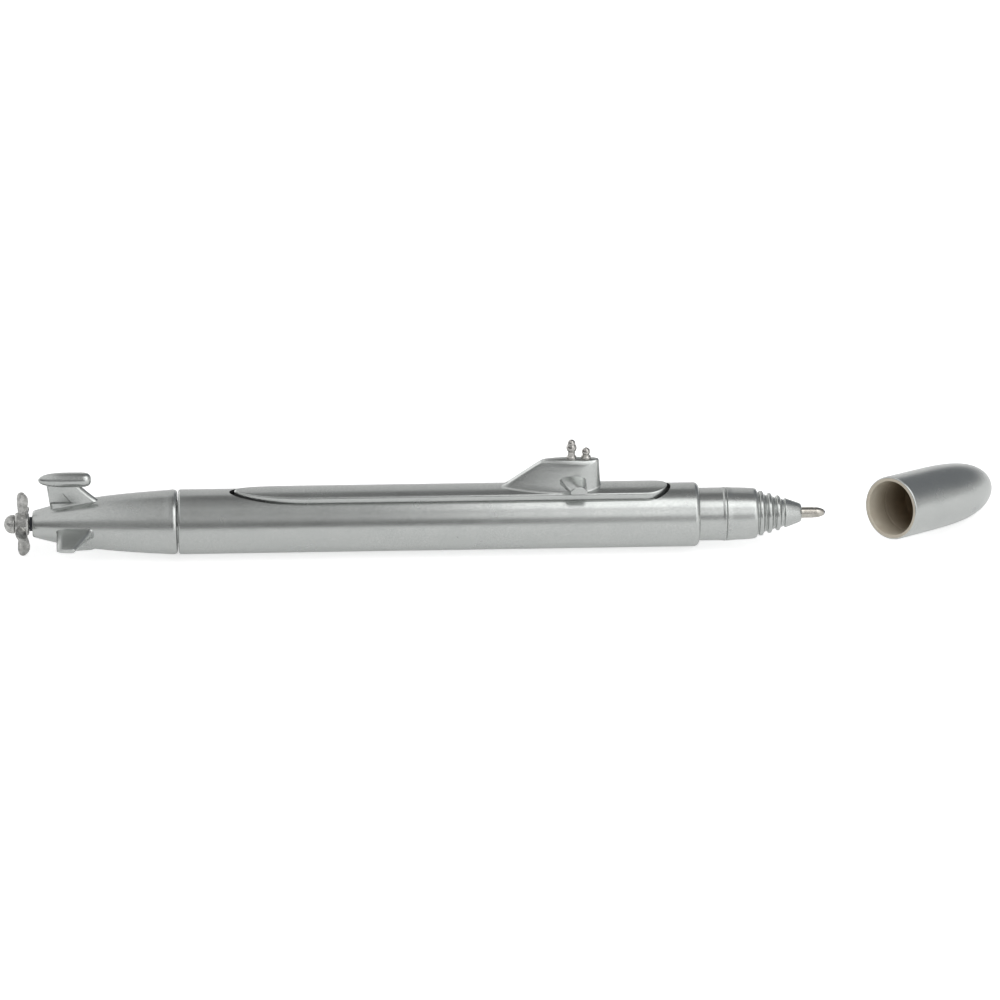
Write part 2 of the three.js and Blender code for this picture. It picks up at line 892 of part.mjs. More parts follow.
add(pen, "barrel", barrel(), silverPaint);
add(pen, "deck_plate", deckPlate(), silverPaint);
add(pen, "sail", sail(), silverPaint);
add(pen, "periscope_mast", tallMast(), brightPlate).position.set(tallMastX, 0, sailTopHeight);
add(pen, "snorkel_mast", shortMast(), brightPlate).position.set(shortMastX, 0, sailTopHeight);
add(pen, "tail_cone", tailCone(), silverPaint);
add(pen, "upper_rudder", upperRudder(), silverPaint);
add(pen, "rudder_pod", pod(0), silverPaint);
add(pen, "propeller_pin", propellerPin(), brightPlate);
add(pen, "propeller_washer", washer(), darkPlastic);
add(pen, "propeller", propeller(), castSilver);
add(pen, "grip_section", gripSection(), silverPaint);
add(pen, "refill_bush", refillBush(), clearPlastic);
add(pen, "refill_tube", refillTube(), clearPlastic);
add(pen, "ink_column", inkColumn(), inkPaste);
add(pen, "refill_tip", refillTip(), nickelSilver);
add(pen, "writing_ball", writingBall(), carbide);

add(capPose, "cap", cap(), silverPaint);
capPose.position.set(tipEnd + capAhead, -capAside, capMouthHeight() - hullRadius);
capPose.rotation.order = "ZYX";
capPose.rotation.y = THREE.MathUtils.degToRad(-capPitch);
capPose.rotation.z = THREE.MathUtils.degToRad(capYaw);

pen.add(capPose);
pen.position.set(-barrelLength / 2, 0, hullRadius);
submarinePen.add(pen);

export default submarinePen;
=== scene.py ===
import math

import bmesh
import bpy
from mathutils import Matrix, Vector

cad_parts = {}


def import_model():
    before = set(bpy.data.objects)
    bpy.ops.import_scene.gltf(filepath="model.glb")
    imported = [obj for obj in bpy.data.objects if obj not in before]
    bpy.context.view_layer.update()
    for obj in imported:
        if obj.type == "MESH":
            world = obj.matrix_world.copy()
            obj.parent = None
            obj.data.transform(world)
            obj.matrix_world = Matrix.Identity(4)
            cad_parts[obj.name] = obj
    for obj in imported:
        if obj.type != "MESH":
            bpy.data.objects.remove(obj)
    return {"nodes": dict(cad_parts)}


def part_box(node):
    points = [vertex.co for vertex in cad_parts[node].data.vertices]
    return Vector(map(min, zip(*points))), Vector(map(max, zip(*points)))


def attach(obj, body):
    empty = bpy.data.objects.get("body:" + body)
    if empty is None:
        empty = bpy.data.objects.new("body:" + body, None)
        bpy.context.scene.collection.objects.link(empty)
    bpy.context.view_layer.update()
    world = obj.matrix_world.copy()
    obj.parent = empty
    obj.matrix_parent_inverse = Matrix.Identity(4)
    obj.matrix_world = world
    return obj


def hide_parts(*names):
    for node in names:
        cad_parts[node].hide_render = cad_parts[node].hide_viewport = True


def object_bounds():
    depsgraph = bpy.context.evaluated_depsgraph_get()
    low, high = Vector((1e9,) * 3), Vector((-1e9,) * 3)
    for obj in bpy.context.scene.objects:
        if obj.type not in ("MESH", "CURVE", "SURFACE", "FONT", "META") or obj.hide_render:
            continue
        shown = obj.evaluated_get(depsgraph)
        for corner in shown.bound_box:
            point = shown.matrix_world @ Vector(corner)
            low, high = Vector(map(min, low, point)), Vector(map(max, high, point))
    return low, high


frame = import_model()
CAD_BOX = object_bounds()

# Lengths are in millimetres along the pen: x = 0 at the barrel's stern edge, the axis at y = z = 0
MM = 0.001
BARREL_LOW, BARREL_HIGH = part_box("barrel")
BARREL_LENGTH = (BARREL_HIGH.x - BARREL_LOW.x) / MM
HULL_RADIUS = (BARREL_HIGH.z - BARREL_LOW.z) / 2 / MM
AXIS_HEIGHT = HULL_RADIUS * MM
TO_ROW = Matrix.Translation((BARREL_LOW.x, 0, AXIS_HEIGHT)) @ Matrix.Scale(MM, 4)

# Steps round a turned piece
ROUND_STEPS = 128
SMALL_STEPS = 64
PIN_STEPS = 48

# Barrel and deck
BARREL_EDGE = 0.32
BARREL_BORE = 4.4
THREAD_BORE = 4.1
THREAD_START = 95
THREAD_RUNOUT = 0.5
GRIP_SEAT_DEPTH = 0.5
GRIP_SEAT_GAP = 0.04
FRONT_ROUND = 1.05
FRONT_SLIMMING = 0.06
DECK_START = 11.2
DECK_END = 97.55
DECK_HALF_WIDTH = 2.95
DECK_STERN_TAPER = 15.2
DECK_BOW_TAPER = 4.4
DECK_PROUD = 0.42
DECK_THICKNESS = 1.2
DECK_EDGE = 0.3
DECK_END_RISE = 0.8
DECK_DRAFT = 0.17
NO_GAP = (0, 0, 0)
DECK_GAP = (0.98, 0.95, 0.68)
RECESS_GAP = 0.3
SHELF_START = DECK_HALF_WIDTH + DECK_DRAFT + 0.06
SHELF_DEPTH = 0.1
SHELF_RISE = 0.5
CUT_ABOVE = 1.5

# Sail
SAIL_BOW = 84.25
SAIL_RAMP_FOOT = 64.5
SAIL_RAMP_TOP = 72.7
SAIL_TOP = 12.7
SAIL_BASE_HALF_WIDTH = 2.6
SAIL_TOP_HALF_WIDTH = 1.4
SAIL_RAMP_HALF_WIDTH = 0.62
SAIL_TOP_RAMP_HALF_WIDTH = 0.68
SAIL_BOW_LEAN = 0.4
SAIL_CHAMFER = 0.42
SAIL_CROWN_START = 0.8
SAIL_CROWN = 0.3
SAIL_RISE = 0.35
SAIL_FLARE = 0.12
SAIL_FLARE_START = 79
SAIL_FLARE_LENGTH = 4

# Sail planes
PLANE_ROOT_START = 75.4
PLANE_TIP_START = 78
PLANE_END = 81.3
PLANE_SPAN = 6.3
PLANE_ROOT_HEIGHT = 8.2
PLANE_TIP_HEIGHT = 7.95
PLANE_THICKNESS = 1.6
PLANE_STATIONS = [
    (0.0, 1.45), (0.08, 1.22), (0.2, 1.05), (0.4, 0.96), (0.7, 0.96), (0.93, 1), (0.98, 0.98), (1, 0.9),
]
PLANE_TIP_INSET = 0.12
PLANE_ARCH_START = 0.25

# Masts
TALL_MAST_X = 78.35
TALL_MAST_HEIGHT = 4.3
SHORT_MAST_X = 81.25
SHORT_MAST_HEIGHT = 2.5
MAST_BALL = 1.04
MAST_STEM = 0.72
MAST_COLLAR = 0.98
MAST_KNOB = 0.84
SHORT_MAST_STEM = 0.68
TALL_MAST_BALL_HEIGHT = 2.55
TALL_MAST_CROWN = 0.78

# Tail
TAIL_LENGTH = 29
TAIL_END_RADIUS = 2.6
SEAM_GAP = 0.25
SEAM_ROUND_LENGTH = 0.9
SEAM_ROUND_DEPTH = 0.4
SPIGOT_RADIUS = 4.25
SPIGOT_LENGTH = 9
SPIGOT_BORE = 2.2
SPIGOT_BORE_END = -14
CORE_RADIUS = 0.5
CORE_START = -15
PIN_SOCKET_RADIUS = 1.15
PIN_SOCKET_END = -23
FIN_TRAILING = 4.9
STERN_PLANE_SPAN = 12.1
STERN_PLANE_ROOT_CHORD = 7.4
STERN_PLANE_TIP_CHORD = 3.9
FIN_HALF_THICKNESS = 0.95
FIN_TIP_HALF_THICKNESS = 0.5
FIN_FLARE = 0.3
FIN_TIP_ROUND = 0.22
LOWER_RUDDER_DEPTH = 5.95
LOWER_RUDDER_CHORD = 7.4
RUDDER_TRAILING = 3.6
RUDDER_ROOT_CHORD = 9.5
RUDDER_TIP_CHORD = 5.7
RUDDER_LEAN = 0.6
RUDDER_HALF_THICKNESS = 0.9
RUDDER_STATIONS = [
    (0, 0.14), (0.012, 0.06), (0.03, 0.02), (0.05, 0), (0.35, 0), (0.6, 0), (0.8, 0), (1, 0),
]
POD_START = 1.4
POD_LENGTH = 10.6
POD_RADIUS = 1.5
POD_HEIGHT = 9.7
POD_SHAPE = [
    (0, 0), (0.01, 0.22), (0.04, 0.45), (0.1, 0.66), (0.2, 0.84), (0.32, 0.94), (0.45, 0.99), (0.6, 1),
    (0.8, 0.99), (0.88, 0.95), (0.94, 0.82), (0.975, 0.6), (0.993, 0.3), (1, 0),
]

# Propeller, its pin and washer
HUB_REAR = -32.5
HUB_FRONT = -29.7
HUB_RADIUS = 2.3
BLADE_TIP = 7.05
BLADE_CHORD = 2.9
BLADE_THICKNESS = 0.8
BLADE_CUP = 0.12
BLADE_TWIST = 14
BLADE_PITCH = -34
BLADE_COUNT = 4
BLADE_BENDS = (0.25, -0.2, 0.15, -0.1)
BLADE_STATIONS = [
    (0.2, 0.66, 1.1), (0.3, 0.62, 1), (0.42, 0.7, 0.95), (0.58, 0.88, 0.9), (0.74, 1, 0.85),
    (0.86, 0.92, 0.78), (0.94, 0.68, 0.7), (0.985, 0.34, 0.5), (1, 0.1, 0.25),
]
HUB_BORE = 1
PIN_RADIUS = 0.85
PIN_HEAD_RADIUS = 1.86
PIN_HEAD_LENGTH = 2.1
PIN_HEAD_RIM = 0.25
PIN_HEAD_GAP = 0.1
PIN_END = -24
WASHER_RADIUS = 1.44
WASHER_REAR = -29.6
WASHER_FRONT = -29.05

# Nose, refill and cap
GRIP_RADIUS = 5.31
GRIP_FRONT_RADIUS = 5.16
GRIP_LENGTH = 11.7
BEAD_FROM_BARREL = 5.42
BEAD_RADIUS = GRIP_RADIUS + 0.12
RIB_COUNT = 3
RIB_PITCH = 1.7
FIRST_RIB_RADIUS = 4.52
RIB_STEP = 0.49
RIB_GROOVE = 0.62
FIRST_GROOVE_AHEAD = 0.28
GROOVE_AHEAD = 0.47
CONE_LENGTH = 3.4
CONE_REAR_RADIUS = 3.0
CONE_FRONT_RADIUS = 1.8
SPIGOT_START = 96
SPIGOT_OUTER_RADIUS = 3.95
SPIGOT_INNER_RADIUS = 3
REFILL_BORE = 1.65
REFILL_BORE_START = 99.5
TIP_RADIUS = 1.1
TIP_REACH = 4.9
TIP_STRAIGHT = 2.8
TIP_BORE = 1.16
TIP_SHANK_RADIUS = 0.8
TIP_SHANK_START = 4.9
TIP_SHOULDER = 1.9
TIP_LIP_RADIUS = 0.6
BALL_RADIUS = 0.49
CAP_RADIUS = 6.35
CAP_LENGTH = 31.8
CAP_STRAIGHT = 2
CAP_POWER = 4.76
CAP_SKIN = 0.93
CAP_SEAT_DEPTH = 12
CAP_INNER_DEPTH = 26.2
CAP_RING_AT = 5.4
CAP_YAW = 45.5
CAP_PITCH = -11.4
CAP_MOUTH = Vector((141.82, -5.96, 10.209))
CAP_LIFT = CAP_MOUTH - Vector((0, 0, HULL_RADIUS))
CAP_TURN = Matrix.Rotation(math.radians(CAP_YAW), 4, "Z")
CAP_TURN = CAP_TURN @ Matrix.Rotation(math.radians(-CAP_PITCH), 4, "Y")

# Finishes and floor. A wave texture turns by 20 radians in a unit of its scale.
LATHE_RING = 0.5655
WAVE_RADIANS = 20
PAPER_GLOW = 0.25
PAPER_GLOW_TO_CAMERA = 0.35
FLOOR_GAP = 0.02

# Camera: a long lens a metre away, which looks down on the pen's near side
ELEVATION = 27
TURN = 2.5
ROLL = 0.29
FOCAL_LENGTH = 180
SENSOR = 36
DISTANCE = 1000
AIM_X = 64.2
AIM_ABOVE_AXIS = 3.39


# Colours and nodes

# A Mix node's sockets when it mixes colours: the share of the second one, the two, and the result
MIX_SHARE, MIX_FIRST, MIX_SECOND = 0, 6, 7
MIXED = 2

# A noise stays near its middle: it is stretched from these two values
NOISE_LOW = 0.3
NOISE_HIGH = 0.7


def linear(code):
    """An sRGB hex value as a linear colour."""
    channels = []
    for start in (0, 2, 4):
        value = int(code[start:start + 2], 16) / 255
        channels.append(value / 12.92 if value <= 0.04045 else ((value + 0.055) / 1.055) ** 2.4)
    return (*channels, 1)


def add_node(tree, kind, inputs=None, **settings):
    """Adds a node with its settings. Each input is a value, or the output that it is linked to."""
    node = tree.nodes.new(kind)
    for name, value in settings.items():
        setattr(node, name, value)
    for socket, value in (inputs or {}).items():
        if isinstance(value, bpy.types.NodeSocket):
            tree.links.new(value, node.inputs[socket])
        else:
            node.inputs[socket].default_value = value
    return node


def new_material(name, **constants):
    """A material with its shader's constants set, its tree, its shader and the Object coordinates."""
    material = bpy.data.materials.new(name)
    material.use_nodes = True
    tree = material.node_tree
    shader = tree.nodes["Principled BSDF"]
    for socket, value in constants.items():
        shader.inputs[socket.replace("_", " ")].default_value = value
    place = add_node(tree, "ShaderNodeTexCoord").outputs["Object"]
    return material, tree, shader, place


def mottle(tree, shader, place, size, detail=2, grit=0.5, tone=None, share=1, roughness=None, bump=None):
    """Lays cloudy spots of a size in millimetres over a finish. They bring in a tone, up to a share
    of it, vary the roughness from one value to another, and raise a bump, which is a strength and a
    height in metres."""
    spots = add_node(tree, "ShaderNodeTexNoise", {
        "Vector": place, "Scale": 1 / (size * MM), "Detail": detail, "Roughness": grit,
    }).outputs["Fac"]
    stretch = {"Value": spots, "From Min": NOISE_LOW, "From Max": NOISE_HIGH}
    if tone is not None:
        base = shader.inputs["Base Color"]
        under = base.links[0].from_socket if base.is_linked else base.default_value[:]
        amount = add_node(tree, "ShaderNodeMapRange", {**stretch, "To Min": 0, "To Max": share})
        mixed = add_node(tree, "ShaderNodeMix", {
            MIX_SHARE: amount.outputs["Result"], MIX_FIRST: under, MIX_SECOND: tone,
        }, data_type="RGBA")
        tree.links.new(mixed.outputs[MIXED], base)
    if roughness is not None:
        low, high = roughness
        amount = add_node(tree, "ShaderNodeMapRange", {**stretch, "To Min": low, "To Max": high})
        tree.links.new(amount.outputs["Result"], shader.inputs["Roughness"])
    if bump is not None:
        strength, height = bump
        raised = add_node(tree, "ShaderNodeBump", {
            "Height": spots, "Strength": strength, "Distance": height,
        })
        normal = shader.inputs["Normal"]
        if normal.is_linked:
            tree.links.new(normal.links[0].from_socket, raised.inputs["Normal"])
        tree.links.new(raised.outputs["Normal"], normal)


# Satin silver paint sprayed on moulded plastic: fine aluminium flake, which twinkles a little and
# blurs what it mirrors, over a faint orange peel
def silver_paint():
    material, *nodes = new_material("silver_paint", Base_Color=linear("b2b5b3"), Metallic=0.9)
    mottle(*nodes, 0.25, grit=0.7, tone=linear("c9cbc9"), bump=(0.2, 0.00002))
    mottle(*nodes, 6, detail=3, tone=linear("b4b7b6"), share=0.35, roughness=(0.22, 0.28))
    mottle(*nodes, 0.8, bump=(0.12, 0.00006))
    return material


# The same paint laid on thick over a small casting, so that it pools and has pits
def pooled_silver_paint():
    material, *nodes = new_material("pooled_silver_paint", Base_Color=linear("7f7f7d"), Metallic=0.9)
    mottle(*nodes, 0.9, detail=3, tone=linear("c8c8c5"), roughness=(0.38, 0.24), bump=(0.7, 0.00022))
    mottle(*nodes, 0.16, detail=1, tone=linear("d8d8d5"), share=0.4)
    return material


# Bright plating on the small mast pins, with a few dimples
def bright_plating():
    material, *nodes = new_material("bright_plating", Base_Color=linear("9c9a97"), Metallic=1.0)
    mottle(*nodes, 0.7, tone=linear("c6c4c0"), roughness=(0.26, 0.17), bump=(0.4, 0.0001))
    return material


# Unpainted ABS the colour of old cream, with painted shade: browner deeper inside the cap, where less
# light gets in
def cream_abs():
    material, tree, shader, place = new_material("cream_abs", Roughness=0.5, IOR=1.53)
    axis = CAP_TURN @ Vector((1, 0, 0))
    mouth = (TO_ROW @ CAP_LIFT).dot(axis)
    # Painted shade: the cream turns brown from 1 mm to 12 mm inside the mouth, along the cap's axis
    along = add_node(tree, "ShaderNodeVectorMath", {0: place, 1: axis}, operation="DOT_PRODUCT")
    deep = add_node(tree, "ShaderNodeMapRange", {
        "Value": along.outputs["Value"], "From Min": mouth + MM, "From Max": mouth + 12 * MM,
    }, interpolation_type="SMOOTHSTEP")
    tones = []
    for cream, shaded_brown in (("cbc4b5", "93816a"), ("bdb4a4", "806e57")):
        tones.append(add_node(tree, "ShaderNodeMix", {
            MIX_SHARE: deep.outputs["Result"], MIX_FIRST: linear(cream), MIX_SECOND: linear(shaded_brown),
        }, data_type="RGBA").outputs[MIXED])
    tree.links.new(tones[0], shader.inputs["Base Color"])
    mottle(tree, shader, place, 3, detail=3, tone=tones[1])
    mottle(tree, shader, place, 0.5, bump=(0.1, 0.00004))
    return material


# Painted shade for the walls of the recess: near black and dull, standing in for the shade deep in the
# narrow gap round the plate
def painted_recess_shade():
    material, *nodes = new_material(
        "painted_recess_shade", Base_Color=linear("1f2021"), Roughness=0.7, Metallic=0.2
    )
    mottle(*nodes, 0.8, detail=3, tone=linear("3a3a3a"))
    return material


# Turned nickel silver of a refill's socket: bright, a little yellow, with lathe rings, which are
# drawn as coarse as they need to show
def turned_nickel_silver():
    material, tree, shader, place = new_material(
        "turned_nickel_silver", Base_Color=linear("c3c0b9"), Metallic=1.0
    )
    mottle(tree, shader, place, 0.6, tone=linear("a5a19a"), roughness=(0.16, 0.26))
    rings = add_node(tree, "ShaderNodeTexWave", {
        "Vector": place, "Scale": math.tau / WAVE_RADIANS / (LATHE_RING * MM), "Distortion": 0.4,
        "Detail": 1,
    }, wave_type="BANDS", bands_direction="X")
    raised = add_node(tree, "ShaderNodeBump", {
        "Height": rings.outputs["Fac"], "Strength": 0.12, "Distance": 0.00001,
    })
    tree.links.new(raised.outputs["Normal"], shader.inputs["Normal"])
    return material


# Ground and polished steel of a writing ball, with a film of ink
def polished_ball_steel():
    material, *nodes = new_material(
        "polished_ball_steel", Base_Color=linear("c4c4c6"), Metallic=1.0, Roughness=0.15
    )
    mottle(*nodes, 0.3, tone=linear("7b7d86"))
    return material


# Dark acetal of a small spacer
def dark_acetal():
    material, *nodes = new_material("dark_acetal", Base_Color=linear("1d2126"), Roughness=0.45, IOR=1.48)
    mottle(*nodes, 0.5, tone=linear("2e343b"))
    return material


# Extruded polypropylene of an ink tube: cloudy and half clear
def cloudy_polypropylene():
    material, *nodes = new_material(
        "cloudy_polypropylene", Base_Color=linear("dfe1e1"), Roughness=0.3, IOR=1.49,
        Subsurface_Weight=0.2, Subsurface_Radius=(MM, MM, MM),
    )
    mottle(*nodes, 2, tone=linear("cfd3d4"))
    return material


# Thick blue-black writing paste
def writing_paste():
    material, *nodes = new_material("writing_paste", Base_Color=linear("10142c"), Roughness=0.3, IOR=1.5)
    mottle(*nodes, 1.5, tone=linear("1a1f3d"))
    return material


SILVER = silver_paint()
POOLED = pooled_silver_paint()
PLATED = bright_plating()
CREAM = cream_abs()
RECESS = painted_recess_shade()
NICKEL = turned_nickel_silver()
BALL = polished_ball_steel()
ACETAL = dark_acetal()
TUBE = cloudy_polypropylene()
PASTE = writing_paste()


# Mesh tools. A rounding takes at most this share of a side, and points this close, in millimetres,
# are one.
LONGEST_CUT = 0.49
MERGE_DISTANCE = 1e-4


def between(a, b, t):
    return a + (b - a) * t


def clamped(share):
    return max(0, min(1, share))


def quarter_turn(steps):
    """Angles from 0 to 90 degrees."""
    return [math.pi / 2 * i / steps for i in range(steps + 1)]


def curve(start, bend, end, t):
    """A point on the curve from start to end that a third point bends."""
    return start * (1 - t) ** 2 + bend * 2 * t * (1 - t) + end * t ** 2


def mirrored(points):
    return [Vector((p.x, -p.y, p.z)) for p in reversed(points)]


def mesh_of(bm, name):
    mesh = bpy.data.meshes.new(name)
    bm.to_mesh(mesh)
    bm.free()
    return mesh


def add_object(name, data):
    thing = bpy.data.objects.new(name, data)
    bpy.context.scene.collection.objects.link(thing)
    return thing


def rounded(points, closed=False, steps=5):
    """Profile points [x, radius, cut]: a corner with a cut is rounded, from that far before it to
    that far after it."""
    count = len(points)
    out = []
    for i, point in enumerate(points):
        here = Vector(point[:2])
        cut = point[2] if len(point) > 2 else 0
        if not cut or (not closed and i in (0, count - 1)):
            out.append(here)
            continue
        before = Vector(points[i - 1][:2]) - here
        after = Vector(points[(i + 1) % count][:2]) - here
        start = here + before.normalized() * min(cut, before.length * LONGEST_CUT)
        end = here + after.normalized() * min(cut, after.length * LONGEST_CUT)
        out += [curve(start, here, end, step / steps) for step in range(steps + 1)]
    return out


def turned(points, closed=False, steps=ROUND_STEPS, upright=False, curve_steps=5):
    """A profile spun about the pen's axis, or about the Z axis when upright."""
    bm = bmesh.new()
    profile = rounded(points, closed, curve_steps)
    verts = [bm.verts.new((p.x, 0, max(p.y, 0))) for p in profile]
    edges = [bm.edges.new(pair) for pair in zip(verts, verts[1:])]
    if closed:
        edges.append(bm.edges.new((verts[-1], verts[0])))
    bmesh.ops.spin(
        bm, geom=verts + edges, cent=(0, 0, 0), axis=(1, 0, 0), angle=math.tau, steps=steps,
        use_merge=True,
    )
    bmesh.ops.remove_doubles(bm, verts=bm.verts, dist=MERGE_DISTANCE)
    bmesh.ops.recalc_face_normals(bm, faces=bm.faces)
    if upright:
        matrix = Matrix.Rotation(-math.pi / 2, 3, "Y")
        bmesh.ops.rotate(bm, verts=bm.verts, cent=(0, 0, 0), matrix=matrix)
    return bm


def loft(rings):
    """A closed body drawn through rings of as many points each, by extruding the first ring."""
    bm = bmesh.new()
    verts = [bm.verts.new(point) for point in rings[0]]
    count = len(verts)
    edges = [bm.edges.new((verts[i], verts[(i + 1) % count])) for i in range(count)]
    bmesh.ops.contextual_create(bm, geom=edges)
    for ring in rings[1:]:
        made = set(bmesh.ops.extrude_edge_only(bm, edges=edges)["geom"])
        following = []
        for vert, point in zip(verts, ring):
            ends = [edge.other_vert(vert) for edge in vert.link_edges]
            following.append(next(end for end in ends if end in made))
            following[-1].co = point
        verts = following
        edges = [bm.edges.get((verts[i], verts[(i + 1) % count])) for i in range(count)]
    bmesh.ops.contextual_create(bm, geom=edges)
    bmesh.ops.recalc_face_normals(bm, faces=bm.faces)
    return bm


def merge(*meshes):
    """Puts several closed bodies in one mesh."""
    whole = bmesh.new()
    for bm in meshes:
        part = mesh_of(bm, "part")
        whole.from_mesh(part)
        bpy.data.meshes.remove(part)
    return whole


def finish_piece(bm, node, body, materials, to_row=TO_ROW, crease=35):
    """Turns a mesh in millimetres into a piece in the row's frame that stands for its CAD node. It is
    smooth apart from its edges of more than the crease, in degrees."""
    bmesh.ops.transform(bm, matrix=to_row, verts=bm.verts)
    sharp = math.radians(crease)
    for face in bm.faces:
        face.smooth = True
    for edge in bm.edges:
        edge.smooth = edge.calc_face_angle(0) < sharp
    name = node + "_finish"
    piece = add_object(name, mesh_of(bm, name))
    for material in materials:
        piece.data.materials.append(material)
    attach(piece, body)
    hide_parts(node)
    return piece


def fin_outline(trailing, leading, blunt, widest, steps=14, wide_at=0.7, fullness=1):
    """[x, offset] points round a fin: blunt behind, widest at wide_at, round in front."""
    side = []
    for i in range(steps + 1):
        u = wide_at * (i / steps) ** 1.5
        swell = math.sin(math.pi / 2 * u / wide_at) ** fullness
        side.append((between(trailing, leading, u), between(blunt, widest, swell)))
    for i in range(1, steps + 1):
        turn = math.pi / 2 * i / steps
        u = wide_at + (1 - wide_at) * math.sin(turn)
        side.append((between(trailing, leading, u), widest * math.cos(turn)))
    return side + [(x, -w) for x, w in reversed(side[:-1])]


# Barrel and deck plate

DECK_OUTER = HULL_RADIUS + DECK_PROUD
DECK_INNER = DECK_OUTER - DECK_THICKNESS


def deck_half_width(x, gap):
    """Half the width of the plate, or of its recess: both ends are half ellipses, a long one at the
    stern. The gap is the room beside, behind and ahead of the plate."""
    side, behind, ahead = gap
    stern = 1 - min(1, (x - DECK_START + behind) / (DECK_STERN_TAPER + behind))
    bow = 1 - min(1, (DECK_END + ahead - x) / (DECK_BOW_TAPER + ahead))
    return max(0.05, (DECK_HALF_WIDTH + side) * math.sqrt(1 - stern ** 2) * math.sqrt(1 - bow ** 2))


def deck_stations(gap):
    turns = quarter_turn(26)
    start, end = DECK_START - gap[1], DECK_END + gap[2]
    stern = [start + (DECK_STERN_TAPER + gap[1]) * (1 - math.cos(t)) for t in turns]
    bow = [end - (DECK_BOW_TAPER + gap[2]) * (1 - math.sin(t)) for t in turns]
    return stern + bow


def arc(x, radius, half_width, steps):
    ys = [between(-half_width, half_width, i / steps) for i in range(steps + 1)]
    return [Vector((x, y, math.sqrt(radius ** 2 - y ** 2))) for y in ys]


def deck_plate():
    """A curved plate with steep walls, which lies in a moat."""
    rings = []
    for x in deck_stations(NO_GAP):
        half = deck_half_width(x, NO_GAP)
        radius = HULL_RADIUS + DECK_PROUD * min(1, half / DECK_END_RISE)
        edge = min(DECK_EDGE, half / 2)
        crown = arc(x, radius, half - edge, 20)
        brow = crown[-1]
        foot = half + DECK_DRAFT * min(1, half / DECK_HALF_WIDTH)
        wall = Vector((x, half, math.sqrt(radius ** 2 - half ** 2) - edge))
        bend = Vector((x, half, brow.z - edge * brow.y / brow.z))
        corner = [curve(wall, bend, brow, t) for t in (0, 0.2, 0.4, 0.6, 0.8)]
        rings.append([*arc(x, DECK_INNER, foot, 12), *corner, *reversed(crown), *mirrored(corner)])
    return finish_piece(loft(rings), "deck_plate", "hull", [SILVER], crease=50)


def cutter_piece(bm, *materials):
    """What cuts a piece, with the materials that it leaves on the walls of the cut."""
    bmesh.ops.transform(bm, matrix=TO_ROW, verts=bm.verts)
    piece = add_object("cutter", mesh_of(bm, "cutter"))
    for material in materials:
        piece.data.materials.append(material)
    return piece


def recess_cutter():
    """The recess: deep under the plate and at its ends, with a shelf along each side."""
    rings = []
    for x in deck_stations(DECK_GAP):
        half = deck_half_width(x, DECK_GAP)
        inner = min(SHELF_START, half * 0.97)
        deep = arc(x, DECK_INNER - RECESS_GAP, inner, 12)
        rise = clamped((half - SHELF_START) / SHELF_RISE)
        rim = math.sqrt(HULL_RADIUS ** 2 - half ** 2)
        floor_height = math.sqrt((DECK_INNER - RECESS_GAP) ** 2 - half ** 2)
        shelf = between(floor_height, rim - SHELF_DEPTH, rise)
        far = [Vector((x, inner, between(deep[-1].z, shelf, rise))), Vector((x, half, shelf))]
        above = arc(x, HULL_RADIUS + CUT_ABOVE, half, 12)
        rings.append([*mirrored(far), *deep, *far, *reversed(above)])
    bm = loft(rings)
    # The walls of the deep part take the near-black painted shade of the recess, and the shelves stay
    # silver
    for face in bm.faces:
        face.material_index = 1 if abs(face.calc_center_median().y) > SHELF_START else 0
    return cutter_piece(bm, RECESS, SILVER)


def apply_cut(piece, cutter):
    modifier = piece.modifiers.new("cut", "BOOLEAN")
    modifier.operation = "DIFFERENCE"
    modifier.solver = "EXACT"
    modifier.material_mode = "TRANSFER"
    modifier.object = cutter
    bpy.context.view_layer.objects.active = piece
    bpy.ops.object.modifier_apply(modifier=modifier.name)
    bpy.data.objects.remove(cutter)


def barrel():
    front = HULL_RADIUS - FRONT_SLIMMING
    seat = GRIP_RADIUS + GRIP_SEAT_GAP
    nose = []
    for turn in quarter_turn(10):
        x = BARREL_LENGTH + FRONT_ROUND * (math.sin(turn) - 1)
        nose.append((x, between(seat, front, math.cos(turn))))
    bm = turned([
        (0, HULL_RADIUS - BARREL_EDGE, 0.06),
        (BARREL_EDGE, HULL_RADIUS, 0.15),
        *nose,
        (BARREL_LENGTH - GRIP_SEAT_DEPTH, seat),
        (BARREL_LENGTH - GRIP_SEAT_DEPTH, THREAD_BORE),
        (THREAD_START, THREAD_BORE),
        (THREAD_START - THREAD_RUNOUT, BARREL_BORE),
        (0, BARREL_BORE, 0.1),
    ], closed=True, curve_steps=8)
    piece = finish_piece(bm, "barrel", "hull", [SILVER, RECESS])
    apply_cut(piece, recess_cutter())
    return piece


# Sail and masts

def deck_height(y):
    return math.sqrt(DECK_OUTER ** 2 - y ** 2)


def sail_outline(t, inset):
    return fin_outline(
        between(SAIL_RAMP_FOOT, SAIL_RAMP_TOP, t) + inset,
        SAIL_BOW - SAIL_BOW_LEAN * t - inset,
        between(SAIL_RAMP_HALF_WIDTH, SAIL_TOP_RAMP_HALF_WIDTH, t) - inset,
        between(SAIL_BASE_HALF_WIDTH, SAIL_TOP_HALF_WIDTH, t) - inset,
        steps=18,
        fullness=0.72,
    )


def roof_rise(x, y):
    """How much the roof stands above SAIL_TOP: it is crowned across and a little along."""
    share = clamped((x - SAIL_RAMP_TOP) / (SAIL_BOW - SAIL_RAMP_TOP))
    return SAIL_RISE * math.sin(math.pi * share) ** 0.7 - SAIL_CROWN * y ** 2


